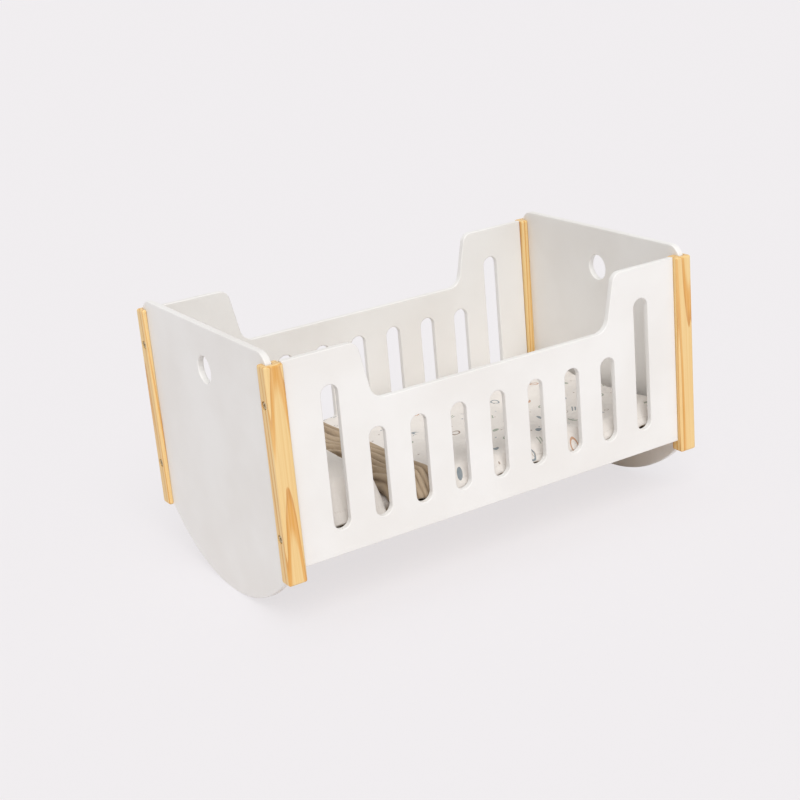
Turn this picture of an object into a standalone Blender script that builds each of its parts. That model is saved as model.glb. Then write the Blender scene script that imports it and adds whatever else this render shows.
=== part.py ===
"""Rocking bed for dolls, in metres.

Four timber corner posts hold two slotted side panels and two end panels whose lower edges are rockers.
A base board on two cleats carries a mattress, a pillow and a quilt with a turned-back head edge.

Frame: X runs along the bed with the head at -X, Y runs across it with the front at -Y, Z is up.
The origin is on the floor under the middle of the bed, at the lowest line of the rockers.
"""
import math

import bmesh
import bpy
from mathutils import Matrix, Vector

# Whole bed, over the faces of the posts
LENGTH = 0.520
WIDTH = 0.292

# Clearance between pieces that touch, and how far every cutter runs past what it cuts
FIT_GAP = 0.0003
OVERRUN = 0.002

# Points nearer together than this are one point
WELD_DISTANCE = 0.00003

# Corner posts
POST_LENGTHWISE = 0.0205
POST_CROSSWISE = 0.016
POST_HEIGHT = 0.223
POST_EDGE_ROUND = 0.0022
POST_ROUND_SEGMENTS = 3

# Height of the posts above the floor, which is also the depth of the rocker's arc between them
ROCKER_DEPTH = 0.055

# Painted boards of the sides and ends, and how far they lie behind the posts' faces
BOARD = 0.007
BOARD_EASED_EDGE = 0.0009
RECESS = 0.005

# End panels
END_RISE = 0.0105
END_CORNER_RADIUS = 0.017
FINGER_HOLE_DIAMETER = 0.029
FINGER_HOLE_DROP = 0.047

# Side panels: raised at both ends, with a slanted and rounded step down to the rail
SIDE_FOOT_RISE = 0.013
RAIL_DROP = 0.0615
RAISED_END_LENGTH = 0.082
STEP_SLANT = 0.0127
STEP_TOP_RADIUS = 0.012
STEP_FOOT_RADIUS = 0.016

# Slots in the side panels: a tall one under each raised end and short ones between them
SLOT_COUNT = 9
SLOT_WIDTH = 0.019
SLOT_FOOT = 0.026
SHORT_SLOT_LENGTH = 0.094
TALL_SLOT_LENGTH = 0.149
TALL_SLOT_INSET = 0.0472

# Screws along X through post and end panel into the ends of the side panels
SCREW_LENGTH = 0.040
SCREW_DIAMETER = 0.0032
SCREW_POINT = 0.006
SCREW_HEAD_DIAMETER = 0.0078
SCREW_HEAD_HEIGHT = 0.0022
SCREW_HEAD_DOME = 0.0005
SCREW_SUNK = 0.0006
SCREW_DROP = 0.039
SCREW_RISE = 0.0483
COUNTERBORE_DIAMETER = 0.009
SOCKET_WIDTH = 0.003
SOCKET_DEPTH = 0.0013
TURNED_STEPS = 16

# Base board and the cleats under its long edges
BASE_THICKNESS = 0.006
BASE_PLAY = 0.0005
CLEAT_WIDTH = 0.010
CLEAT_HEIGHT = 0.008
CLEAT_END_GAP = 0.012
CLEAT_EDGE_ROUND = 0.001

# Mattress
MATTRESS_THICKNESS = 0.015
MATTRESS_END_PLAY = 0.004
MATTRESS_SIDE_PLAY = 0.016
MATTRESS_PIPING = 0.0035
MATTRESS_DRAWN_IN = 0.002

# Pillow
PILLOW_LENGTHWISE = 0.116
PILLOW_SIDE_PLAY = 0.014
PILLOW_THICKNESS = 0.047
PILLOW_SEAM_HEIGHT = 0.014
PILLOW_SEAM_BAND = 0.003
PILLOW_DRAWN_IN = 0.006
PILLOW_HEAD_PLAY = 0.003

# Quilt with its head edge turned back
QUILT_THICKNESS = 0.009
QUILT_SIDE_PLAY = 0.004
QUILT_FOOT_PLAY = 0.011
QUILT_PILLOW_PLAY = 0.003
QUILT_CUFF = 0.046
QUILT_LAYER_PITCH = 0.012
QUILT_SIDE_DROOP = 0.0075
QUILT_SIDE_RUN = 0.015
QUILT_FOLD_HEIGHT = 0.004
QUILT_FOLD_PITCH = 0.115

# Share of the quilt's thickness that is left at its hems, and of its width by which its folds run aslant
HEM_THICKNESS_SHARE = 0.45
FOLD_ASLANT_SHARE = 0.35

# How full a filled cover has to be before its underside lies flat, as a share of its fullest place
PILLOW_SEAT_SHARE = 0.6

# Powers by which filled covers round off towards their seams: a high one stays level for longer
MATTRESS_LEVEL_POWER = 12
PILLOW_CROWN_POWER = 2.4

# Faces along curved work
CORNER_STEPS = 6
SLOT_STEPS = 8
HOLE_STEPS = 32

# Faces of a rocker: an odd count, so that the bed comes to rest on a face and not on the line between two
ROCKER_STEPS = 15

# Faces along soft work
QUILT_CROSS_STEPS = 16
QUILT_LENGTH_STEPS = 24
QUILT_TURN_STEPS = 6
QUILT_CUFF_STEPS = 4
MATTRESS_CUTS = 7
PILLOW_CUTS = 5
PILLOW_LEVELS = 1

# Faces that meet at less than the first angle are one rounded face, and at more than the second they meet in
# an edge that is eased
SMOOTH_ANGLE = math.radians(35)
EASED_ANGLE = math.radians(50)

# Places worked out from the sizes above
HALF_LENGTH = LENGTH / 2
HALF_WIDTH = WIDTH / 2
POST_TOP = ROCKER_DEPTH + POST_HEIGHT
POST_INNER_X = HALF_LENGTH - POST_LENGTHWISE
POST_INNER_Y = HALF_WIDTH - POST_CROSSWISE
BOARD_MIDDLE = RECESS + BOARD / 2
END_TOP = POST_TOP + END_RISE
END_HALF_WIDTH = HALF_WIDTH - RECESS
ROCKER_RADIUS = (POST_INNER_Y ** 2 + ROCKER_DEPTH ** 2) / (2 * ROCKER_DEPTH)
SIDE_BOTTOM = ROCKER_DEPTH + SIDE_FOOT_RISE
SIDE_HALF_LENGTH = POST_INNER_X - FIT_GAP
RAIL_TOP = POST_TOP - RAIL_DROP
INNER_X = HALF_LENGTH - RECESS - BOARD
INNER_Y = HALF_WIDTH - RECESS - BOARD
BASE_BOTTOM = SIDE_BOTTOM + CLEAT_HEIGHT + FIT_GAP
BASE_TOP = BASE_BOTTOM + BASE_THICKNESS
MATTRESS_BOTTOM = BASE_TOP + FIT_GAP
MATTRESS_TOP = MATTRESS_BOTTOM + MATTRESS_THICKNESS
MATTRESS_HALF_LENGTH = INNER_X - MATTRESS_END_PLAY
MATTRESS_HALF_WIDTH = INNER_Y - MATTRESS_SIDE_PLAY
BEDDING_BOTTOM = MATTRESS_TOP + FIT_GAP
PILLOW_HALF_WIDTH = INNER_Y - PILLOW_SIDE_PLAY
QUILT_HALF_WIDTH = INNER_Y - QUILT_SIDE_PLAY
SCREW_HEIGHTS = (ROCKER_DEPTH + SCREW_RISE, POST_TOP - SCREW_DROP)
ENDS = (("head", -1), ("foot", 1))
SIDES = (("front", -1), ("back", 1))


def clear_scene():
    for thing in list(bpy.data.objects):
        bpy.data.objects.remove(thing)


def new_collection(name):
    collection = bpy.data.collections.new(name)
    bpy.context.scene.collection.children.link(collection)
    return collection


def new_material(name, colour, roughness, metallic=0.0):
    material = bpy.data.materials.new(name)
    material.use_nodes = True
    shader = material.node_tree.nodes["Principled BSDF"]
    shader.inputs["Base Color"].default_value = (*colour, 1.0)
    shader.inputs["Roughness"].default_value = roughness
    shader.inputs["Metallic"].default_value = metallic
    material.diffuse_color = (*colour, 1.0)
    return material


def new_object(name, mesh, collection, material=None):
    """Link a mesh as an object of its own."""
    thing = bpy.data.objects.new(name, mesh)
    collection.objects.link(thing)
    if material and not mesh.materials:
        mesh.materials.append(material)
    return thing


def as_cutter(thing):
    thing.hide_render = True
    thing.display_type = "WIRE"
    return thing


def finished_mesh(name, form):
    """Turn a bmesh into a mesh that is smooth across its rounded faces."""
    mesh = bpy.data.meshes.new(name)
    form.to_mesh(mesh)
    form.free()
    mesh.shade_smooth()
    mesh.set_sharp_from_angle(angle=SMOOTH_ANGLE)
    return mesh


def box(name, low, high, collection, material=None):
    """A box between two corners, with its origin at its middle."""
    low, high = Vector(low), Vector(high)
    form = bmesh.new()
    bmesh.ops.create_cube(form, size=1, matrix=Matrix.Diagonal((high - low).to_4d()))
    thing = new_object(name, finished_mesh(name, form), collection, material)
    thing.location = (low + high) / 2
    return thing


def add_bevel(thing, width, segments=1):
    bevel = thing.modifiers.new("eased_edges", "BEVEL")
    bevel.width = width
    bevel.segments = segments
    bevel.limit_method = "ANGLE"
    bevel.angle_limit = EASED_ANGLE
    bevel.use_clamp_overlap = False


def cut(thing, cutter):
    boolean = thing.modifiers.new(cutter.name, "BOOLEAN")
    boolean.operation = "DIFFERENCE"
    boolean.object = cutter


def bake_modifiers(thing, name):
    """The mesh of an object with its modifiers worked in, while the object itself goes."""
    bpy.context.view_layer.update()
    evaluated = thing.evaluated_get(bpy.context.evaluated_depsgraph_get())
    mesh = bpy.data.meshes.new_from_object(evaluated)
    mesh.name = name
    bpy.data.objects.remove(thing)
    return mesh


def arc(centre, radius, start, end, steps):
    """Points along a circle from one angle to another, both ends included."""
    turns = [start + (end - start) * step / steps for step in range(steps + 1)]
    return [(centre[0] + radius * math.cos(turn), centre[1] + radius * math.sin(turn)) for turn in turns]


def rounded_corner(before, corner, after, radius, steps):
    """The arc that rounds a corner between two straight edges."""
    corner = Vector(corner)
    inward = (Vector(before) - corner).normalized()
    outward = (Vector(after) - corner).normalized()
    half_angle = inward.angle(outward) / 2
    centre = corner + (inward + outward).normalized() * radius / math.sin(half_angle)
    first = corner + inward * radius / math.tan(half_angle) - centre
    last = corner + outward * radius / math.tan(half_angle) - centre
    start = math.atan2(first.y, first.x)
    sweep = math.remainder(math.atan2(last.y, last.x) - start, math.tau)
    return arc(centre, radius, start, start + sweep, steps)


def rounded_outline(corners):
    """An outline through corners given as (across, up, radius); a radius of zero leaves a corner sharp."""
    outline = []
    for index, (across, up, radius) in enumerate(corners):
        before = corners[index - 1][:2]
        after = corners[(index + 1) % len(corners)][:2]
        if radius:
            outline += rounded_corner(before, (across, up), after, radius, CORNER_STEPS)
        else:
            outline.append((across, up))
    return outline


def slot_outline(middle, foot, length, width):
    """An upright slot with round ends."""
    radius = width / 2
    head = arc((middle, foot + length - radius), radius, 0, math.pi, SLOT_STEPS)
    heel = arc((middle, foot + radius), radius, math.pi, math.tau, SLOT_STEPS)
    return head + heel


def flat_mesh(name, outline, thickness):
    """A flat form with an outline, centred on its own thickness."""
    curve = bpy.data.curves.new(name, "CURVE")
    curve.dimensions = "2D"
    curve.fill_mode = "BOTH"
    curve.extrude = thickness / 2
    curve.render_resolution_u = 0
    spline = curve.splines.new("POLY")
    spline.points.add(len(outline) - 1)
    for point, (across, up) in zip(spline.points, outline):
        point.co = (across, up, 0, 1)
    spline.use_cyclic_u = True
    guide = bpy.data.objects.new(name + "_outline", curve)
    bpy.context.scene.collection.objects.link(guide)
    mesh = bake_modifiers(guide, name)
    bpy.data.curves.remove(curve)
    form = bmesh.new()
    form.from_mesh(mesh)
    bpy.data.meshes.remove(mesh)
    bmesh.ops.remove_doubles(form, verts=form.verts, dist=WELD_DISTANCE)
    return finished_mesh(name, form)


def board_mesh(name, outline, openings, thickness, cutters):
    """A flat board with openings and with eased edges all round, centred on its own thickness."""
    board = new_object(name, flat_mesh(name, outline, thickness), cutters)
    for index, opening in enumerate(openings, start=1):
        cutter_name = f"{name}_opening_{index}"
        cutter_mesh = flat_mesh(cutter_name, opening, thickness + 2 * OVERRUN)
        cut(board, as_cutter(new_object(cutter_name, cutter_mesh, cutters)))
    add_bevel(board, BOARD_EASED_EDGE)
    mesh = bake_modifiers(board, name)
    mesh.shade_smooth()
    mesh.set_sharp_from_angle(angle=SMOOTH_ANGLE)
    return mesh


def turned_object(name, profile, collection):
    """A turned piece about its own Z axis, from (radius, height) points that run from top to bottom."""
    mesh = bpy.data.meshes.new(name)
    points = [(radius, 0, height) for radius, height in profile]
    mesh.from_pydata(points, [(step, step + 1) for step in range(len(points) - 1)], [])
    thing = new_object(name, mesh, collection)
    screw = thing.modifiers.new("turned", "SCREW")
    screw.steps = TURNED_STEPS
    screw.render_steps = TURNED_STEPS
    screw.use_merge_vertices = True
    screw.merge_threshold = WELD_DISTANCE
    return thing


def screw_place(end, side, height):
    """Where a screw meets the post's outer face, and the turn that points it into the bed."""
    middle = HALF_WIDTH - BOARD_MIDDLE
    return Vector((end * HALF_LENGTH, side * middle, height)), (0, end * math.pi / 2, 0)


def bore_mesh(cutters):
    """A counterbore for the head with a clearance hole for the shank below it."""
    hole = SCREW_DIAMETER / 2 + FIT_GAP
    seat = SCREW_SUNK + SCREW_HEAD_HEIGHT + FIT_GAP
    depth = SCREW_SUNK + SCREW_HEAD_HEIGHT + SCREW_LENGTH + OVERRUN
    profile = [
        (0, OVERRUN),
        (COUNTERBORE_DIAMETER / 2, OVERRUN),
        (COUNTERBORE_DIAMETER / 2, -seat),
        (hole, -seat),
        (hole, -depth),
        (0, -depth),
    ]
    return bake_modifiers(turned_object("bore", profile, cutters), "bore")


def make_bores(cutters):
    """One bore for every screw, keyed by the end, the side and the height that it serves."""
    mesh = bore_mesh(cutters)
    bores = {}
    for end_name, end in ENDS:
        for side_name, side in SIDES:
            for level, height in enumerate(SCREW_HEIGHTS, start=1):
                name = f"bore_{end_name}_{side_name}_{level}"
                bore = as_cutter(new_object(name, mesh, cutters))
                bore.location, bore.rotation_euler = screw_place(end, side, height)
                bores[end, side, level] = bore
    return bores


def make_screw_mesh(cutters):
    """A pan-headed screw with a hexagon socket and a tapered point, its head's top at the origin."""
    head = SCREW_HEAD_DIAMETER / 2
    shank = SCREW_DIAMETER / 2
    foot = -SCREW_HEAD_HEIGHT - SCREW_LENGTH
    profile = [
        (0, 0),
        (head - SCREW_HEAD_DOME, 0),
        (head, -SCREW_HEAD_DOME),
        (head, -SCREW_HEAD_HEIGHT),
        (shank, -SCREW_HEAD_HEIGHT),
        (shank, foot + SCREW_POINT),
        (0, foot),
    ]
    screw = turned_object("screw", profile, cutters)
    form = bmesh.new()
    corner = SOCKET_WIDTH / math.sqrt(3)
    depth = SOCKET_DEPTH + OVERRUN
    bmesh.ops.create_cone(form, cap_ends=True, segments=6, radius1=corner, radius2=corner, depth=depth)
    socket = as_cutter(new_object("socket", finished_mesh("socket", form), cutters))
    socket.location.z = (OVERRUN - SOCKET_DEPTH) / 2
    cut(screw, socket)
    mesh = bake_modifiers(screw, "screw")
    bpy.data.objects.remove(socket)
    mesh.shade_smooth()
    mesh.set_sharp_from_angle(angle=SMOOTH_ANGLE)
    return mesh


def make_screws(parts, cutters, steel):
    mesh = make_screw_mesh(cutters)
    for end_name, end in ENDS:
        for side_name, side in SIDES:
            for level, height in enumerate(SCREW_HEIGHTS, start=1):
                screw = new_object(f"screw_{end_name}_{side_name}_{level}", mesh, parts, steel)
                place, turn = screw_place(end, side, height)
                screw.location = place - Vector((end * SCREW_SUNK, 0, 0))
                screw.rotation_euler = turn


def make_grooves(cutters):
    """The space that each end panel and its clearance take out of the posts beside it."""
    grooves = {}
    for end_name, end in ENDS:
        outer = HALF_LENGTH - RECESS + FIT_GAP
        inner = INNER_X - FIT_GAP
        reach = END_HALF_WIDTH + FIT_GAP
        low = (min(end * outer, end * inner), -reach, ROCKER_DEPTH - OVERRUN)
        high = (max(end * outer, end * inner), reach, POST_TOP + OVERRUN)
        grooves[end] = as_cutter(box(f"groove_{end_name}", low, high, cutters))
    return grooves


def make_posts(parts, grooves, bores, pine):
    for end_name, end in ENDS:
        for side_name, side in SIDES:
            near = Vector((end * POST_INNER_X, side * POST_INNER_Y, ROCKER_DEPTH))
            far = Vector((end * HALF_LENGTH, side * HALF_WIDTH, POST_TOP))
            low = [min(pair) for pair in zip(near, far)]
            high = [max(pair) for pair in zip(near, far)]
            post = box(f"post_{end_name}_{side_name}", low, high, parts, pine)
            add_bevel(post, POST_EDGE_ROUND, POST_ROUND_SEGMENTS)
            cut(post, grooves[end])
            for level in (1, 2):
                cut(post, bores[end, side, level])


def end_panel_outline():
    """Straight upper edge with round corners, upright sides, and the rocker below, whose faces touch its arc."""
    reach = ROCKER_RADIUS / math.cos(math.asin(END_HALF_WIDTH / ROCKER_RADIUS) / ROCKER_STEPS)
    lift = ROCKER_RADIUS - math.sqrt(reach ** 2 - END_HALF_WIDTH ** 2)
    half_sweep = math.asin(END_HALF_WIDTH / reach)
    down = -math.pi / 2
    rocker = arc((0, ROCKER_RADIUS), reach, down - half_sweep, down + half_sweep, ROCKER_STEPS)
    side_foot, corner, top_middle = (END_HALF_WIDTH, lift), (END_HALF_WIDTH, END_TOP), (0, END_TOP)
    right = rounded_corner(side_foot, corner, top_middle, END_CORNER_RADIUS, CORNER_STEPS)
    left = [(-across, up) for across, up in reversed(right)]
    return rocker + right + left


def make_end_panels(parts, cutters, bores, paint):
    hole = arc((0, END_TOP - FINGER_HOLE_DROP), FINGER_HOLE_DIAMETER / 2, 0, math.tau, HOLE_STEPS)[:-1]
    mesh = board_mesh("end_panel", end_panel_outline(), [hole], BOARD, cutters)
    for end_name, end in ENDS:
        panel = new_object(f"end_panel_{end_name}", mesh, parts, paint)
        panel.rotation_euler = (math.pi / 2, 0, math.pi / 2)
        panel.location.x = end * (HALF_LENGTH - BOARD_MIDDLE)
        for side_name, side in SIDES:
            for level in (1, 2):
                cut(panel, bores[end, side, level])


def side_panel_outline():
    """Raised ends that step down through a round shoulder and a round hollow to the rail."""
    step_top = SIDE_HALF_LENGTH - RAISED_END_LENGTH
    step_foot = step_top - STEP_SLANT
    return rounded_outline([
        (-SIDE_HALF_LENGTH, SIDE_BOTTOM, 0),
        (SIDE_HALF_LENGTH, SIDE_BOTTOM, 0),
        (SIDE_HALF_LENGTH, POST_TOP, 0),
        (step_top, POST_TOP, STEP_TOP_RADIUS),
        (step_foot, RAIL_TOP, STEP_FOOT_RADIUS),
        (-step_foot, RAIL_TOP, STEP_FOOT_RADIUS),
        (-step_top, POST_TOP, STEP_TOP_RADIUS),
        (-SIDE_HALF_LENGTH, POST_TOP, 0),
    ])


def slot_outlines():
    """Slots at an even pitch from one raised end to the other, the outer two tall."""
    reach = SIDE_HALF_LENGTH - TALL_SLOT_INSET
    pitch = 2 * reach / (SLOT_COUNT - 1)
    foot = SIDE_BOTTOM + SLOT_FOOT
    outlines = []
    for index in range(SLOT_COUNT):
        tall = index in (0, SLOT_COUNT - 1)
        length = TALL_SLOT_LENGTH if tall else SHORT_SLOT_LENGTH
        outlines.append(slot_outline(index * pitch - reach, foot, length, SLOT_WIDTH))
    return outlines


def make_side_panels(parts, cutters, bores, paint):
    mesh = board_mesh("side_panel", side_panel_outline(), slot_outlines(), BOARD, cutters)
    for side_name, side in SIDES:
        panel = new_object(f"side_panel_{side_name}", mesh, parts, paint)
        panel.rotation_euler = (math.pi / 2, 0, 0)
        panel.location.y = side * (HALF_WIDTH - BOARD_MIDDLE)
        for end_name, end in ENDS:
            for level in (1, 2):
                cut(panel, bores[end, side, level])


def make_cleats(parts, pine):
    reach = SIDE_HALF_LENGTH - CLEAT_END_GAP
    outer = INNER_Y - FIT_GAP
    inner = outer - CLEAT_WIDTH
    for side_name, side in SIDES:
        low = (-reach, min(side * outer, side * inner), SIDE_BOTTOM)
        high = (reach, max(side * outer, side * inner), SIDE_BOTTOM + CLEAT_HEIGHT)
        cleat = box(f"base_cleat_{side_name}", low, high, parts, pine)
        add_bevel(cleat, CLEAT_EDGE_ROUND)


def make_base_board(parts, cutters, plywood):
    """A board that fills the frame, notched at its corners round the posts."""
    reach_x = INNER_X - BASE_PLAY
    reach_y = INNER_Y - BASE_PLAY
    notch_x = POST_INNER_X - BASE_PLAY
    notch_y = POST_INNER_Y - BASE_PLAY
    quarter = [(reach_x, notch_y), (notch_x, notch_y), (notch_x, reach_y)]
    mirrored = [(-across, up) for across, up in reversed(quarter)]
    upper = quarter + mirrored
    lower = [(-across, -up) for across, up in upper]
    mesh = board_mesh("base_board", upper + lower, [], BASE_THICKNESS, cutters)
    board = new_object("base_board", mesh, parts, plywood)
    board.location.z = BASE_BOTTOM + BASE_THICKNESS / 2


def subdivided_block(cuts):
    """A cube of corners at plus and minus one, cut evenly on every face."""
    form = bmesh.new()
    bmesh.ops.create_cube(form, size=2)
    bmesh.ops.subdivide_edges(form, edges=form.edges, cuts=cuts, use_grid_fill=True)
    return form


def fullness(across, along, power):
    """How full a filled cover is at a place: one in its middle and zero at its seams."""
    return math.sqrt((1 - abs(across) ** power) * (1 - abs(along) ** power))


def make_mattress(parts, cotton):
    """A flat pad with rounded piped edges and sides that draw in between its corners."""
    form = subdivided_block(MATTRESS_CUTS)
    for vertex in form.verts:
        along, across, up = vertex.co
        full = fullness(across, along, MATTRESS_LEVEL_POWER)
        drawn_x = MATTRESS_DRAWN_IN * (1 - across ** 2)
        drawn_y = MATTRESS_DRAWN_IN * (1 - along ** 2)
        vertex.co.x = along * (MATTRESS_HALF_LENGTH - drawn_x)
        vertex.co.y = across * (MATTRESS_HALF_WIDTH - drawn_y)
        edge_drop = MATTRESS_PIPING * (1 - full)
        middle = MATTRESS_THICKNESS / 2
        vertex.co.z = middle + up * (middle - edge_drop)
    mattress = new_object("mattress", finished_mesh("mattress", form), parts, cotton)
    mattress.location.z = MATTRESS_BOTTOM
    return mattress


def make_pillow(parts, mattress, cotton):
    """A crowned pillow whose seams stand above what it lies on and draw in between its corners."""
    form = subdivided_block(PILLOW_CUTS)
    for vertex in form.verts:
        along, across, up = vertex.co
        full = fullness(across, along, PILLOW_CROWN_POWER)
        drawn_x = PILLOW_DRAWN_IN * (1 - across ** 2)
        drawn_y = PILLOW_DRAWN_IN * (1 - along ** 2)
        vertex.co.x = along * (PILLOW_LENGTHWISE / 2 - drawn_x)
        vertex.co.y = across * (PILLOW_HALF_WIDTH - drawn_y)
        band = PILLOW_SEAM_BAND / 2 * up * (1 - full)
        above = (PILLOW_THICKNESS - PILLOW_SEAM_HEIGHT) * full if up > 0 else 0
        below = -PILLOW_SEAM_HEIGHT * min(1, full / PILLOW_SEAT_SHARE) if up < 0 else 0
        vertex.co.z = max(0, PILLOW_SEAM_HEIGHT + band + above + below)
    pillow = new_object("pillow", finished_mesh("pillow", form), parts, cotton)
    rounding = pillow.modifiers.new("filled", "SUBSURF")
    rounding.levels = PILLOW_LEVELS
    rounding.render_levels = PILLOW_LEVELS
    pillow.parent = mattress
    pillow.location.x = PILLOW_LENGTHWISE / 2 + PILLOW_HEAD_PLAY - INNER_X
    pillow.location.z = BEDDING_BOTTOM - MATTRESS_BOTTOM
    return pillow


def smooth_step(value):
    value = min(1, max(0, value))
    return value * value * (3 - 2 * value)


def quilt_profile():
    """The quilt's middle layer from its foot to its cuff, as (lengthwise, height) points.

    It runs flat to the head edge, turns over in a half circle and lies back on itself.
    """
    foot = INNER_X - QUILT_FOOT_PLAY
    turn = QUILT_LAYER_PITCH / 2
    outside = QUILT_LAYER_PITCH / 2 + QUILT_THICKNESS / 2
    pillow_edge = PILLOW_LENGTHWISE + PILLOW_HEAD_PLAY - INNER_X
    head = pillow_edge + QUILT_PILLOW_PLAY + outside
    lower = [(foot + (head - foot) * step / QUILT_LENGTH_STEPS, 0) for step in range(QUILT_LENGTH_STEPS)]
    round_turn = arc((head, turn), turn, -math.pi / 2, -3 * math.pi / 2, QUILT_TURN_STEPS)
    upper = [(head + QUILT_CUFF * step / QUILT_CUFF_STEPS, QUILT_LAYER_PITCH)
             for step in range(1, QUILT_CUFF_STEPS + 1)]
    return lower + round_turn + upper


def quilt_lift(lengthwise, crosswise):
    """Low folds across the quilt, and its fall past the edges of the mattress."""
    phase = (lengthwise + FOLD_ASLANT_SHARE * crosswise) / QUILT_FOLD_PITCH * math.tau
    fold = QUILT_FOLD_HEIGHT * (1 - math.cos(phase)) / 2
    flat_reach = QUILT_HALF_WIDTH - QUILT_SIDE_RUN
    droop = QUILT_SIDE_DROOP * smooth_step((abs(crosswise) - flat_reach) / QUILT_SIDE_RUN)
    calm = smooth_step((flat_reach - abs(crosswise)) / QUILT_SIDE_RUN)
    return fold * calm - droop


def make_quilt(parts, mattress, cotton):
    """A padded sheet that follows the profile, thinner at its hems."""
    profile = quilt_profile()
    last_row = len(profile) - 1
    form = bmesh.new()
    bmesh.ops.create_grid(form, x_segments=last_row, y_segments=QUILT_CROSS_STEPS, size=1)
    form.verts.index_update()
    hem, filled = [], []
    for vertex in form.verts:
        row = round((vertex.co.x + 1) / 2 * last_row)
        column = round((vertex.co.y + 1) / 2 * QUILT_CROSS_STEPS)
        lengthwise, height = profile[row]
        crosswise = QUILT_HALF_WIDTH * vertex.co.y
        vertex.co = (lengthwise, crosswise, height + quilt_lift(lengthwise, crosswise))
        at_hem = row in (0, last_row) or column in (0, QUILT_CROSS_STEPS)
        (hem if at_hem else filled).append(vertex.index)
    quilt = new_object("quilt", finished_mesh("quilt", form), parts, cotton)
    group = quilt.vertex_groups.new(name="filling")
    group.add(filled, 1, "REPLACE")
    group.add(hem, HEM_THICKNESS_SHARE, "REPLACE")
    filling = quilt.modifiers.new("filling", "SOLIDIFY")
    filling.thickness = QUILT_THICKNESS
    filling.offset = 0
    filling.vertex_group = "filling"
    quilt.parent = mattress
    quilt.location.z = BEDDING_BOTTOM - MATTRESS_BOTTOM + QUILT_THICKNESS / 2
    return quilt


def main():
    clear_scene()
    parts = new_collection("doll_rocking_bed")
    cutters = new_collection("cutters")

    paint = new_material("white_paint", (0.86, 0.84, 0.81), 0.45)
    pine = new_material("clear_pine", (0.80, 0.50, 0.20), 0.5)
    plywood = new_material("plywood", (0.72, 0.56, 0.38), 0.6)
    steel = new_material("zinc_steel", (0.60, 0.58, 0.54), 0.35, 1.0)
    plain_cotton = new_material("plain_cotton", (0.78, 0.75, 0.70), 0.9)
    pillow_cotton = new_material("pillow_cotton", (0.80, 0.78, 0.74), 0.9)
    quilt_cotton = new_material("quilt_cotton", (0.82, 0.80, 0.77), 0.9)

    bores = make_bores(cutters)
    grooves = make_grooves(cutters)
    make_posts(parts, grooves, bores, pine)
    make_end_panels(parts, cutters, bores, paint)
    make_side_panels(parts, cutters, bores, paint)
    make_screws(parts, cutters, steel)
    make_cleats(parts, pine)
    make_base_board(parts, cutters, plywood)
    mattress = make_mattress(parts, plain_cotton)
    make_pillow(parts, mattress, pillow_cotton)
    make_quilt(parts, mattress, quilt_cotton)


main()
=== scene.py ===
"""A rocking bed for dolls, dressed and lit for its picture.

Metres, +Z up. The bed's head is at -X and its front side at -Y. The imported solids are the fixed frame, and
every piece made here sits where the solids say.
"""

import collections
import math

import bmesh
import bpy
from bpy.props import FloatProperty, FloatVectorProperty, IntProperty, PointerProperty
from mathutils import Euler, Matrix, Vector, noise


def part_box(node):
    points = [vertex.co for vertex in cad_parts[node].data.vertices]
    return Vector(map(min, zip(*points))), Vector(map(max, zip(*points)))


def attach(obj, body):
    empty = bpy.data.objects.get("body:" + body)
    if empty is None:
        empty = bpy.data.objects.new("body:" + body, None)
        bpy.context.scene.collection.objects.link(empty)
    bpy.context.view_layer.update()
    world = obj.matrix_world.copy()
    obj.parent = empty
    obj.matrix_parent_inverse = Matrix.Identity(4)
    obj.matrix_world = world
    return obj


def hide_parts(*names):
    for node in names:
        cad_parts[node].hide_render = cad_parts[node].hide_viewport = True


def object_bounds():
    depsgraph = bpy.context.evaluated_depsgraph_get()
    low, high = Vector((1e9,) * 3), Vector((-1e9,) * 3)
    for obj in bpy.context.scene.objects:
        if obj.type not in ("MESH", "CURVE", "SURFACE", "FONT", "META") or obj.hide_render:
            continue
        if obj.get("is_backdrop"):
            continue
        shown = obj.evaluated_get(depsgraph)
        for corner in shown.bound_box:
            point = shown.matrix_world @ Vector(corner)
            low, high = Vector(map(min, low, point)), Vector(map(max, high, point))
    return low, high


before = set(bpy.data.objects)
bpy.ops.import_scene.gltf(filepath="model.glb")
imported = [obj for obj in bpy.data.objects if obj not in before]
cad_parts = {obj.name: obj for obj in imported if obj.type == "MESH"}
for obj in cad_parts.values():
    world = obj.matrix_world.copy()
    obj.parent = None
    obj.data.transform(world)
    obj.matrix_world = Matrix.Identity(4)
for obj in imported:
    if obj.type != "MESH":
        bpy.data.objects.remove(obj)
CAD_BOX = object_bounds()

bl_info = {
    "name": "Doll Rocking Bed",
    "version": (1, 0, 0),
    "blender": (4, 5, 0),
    "location": "3D View > Sidebar > Doll Bed",
    "description": "Dresses the solids of a doll rocking bed with paint, pine and bedding",
    "category": "Object",
}

# The attribute that holds the painted shade deep in the bedding's folds, from 0 to 1
FOLD_SHADE = "painted_fold_shade"

ENDS = ("head", "foot")
SIDES = ("front", "back")
CORNERS = [f"{end}_{side}" for end in ENDS for side in SIDES]


def tint(red, green, blue):
    """A colour as it is seen on a screen, from 0 to 255, turned into the light that it stands for."""
    shares = [channel / 255 for channel in (red, green, blue)]
    return tuple(share / 12.92 if share <= 0.04045 else ((share + 0.055) / 1.055) ** 2.4 for share in shares)


def length(name, description, default):
    """A size in metres."""
    return FloatProperty(name=name, description=description, default=default, unit="LENGTH", precision=5)


def colour(name, description, default):
    """A colour that can be changed in the sidebar."""
    return FloatVectorProperty(
        name=name, description=description, default=default, subtype="COLOR", min=0, max=1)


# Sizes and colours

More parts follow.
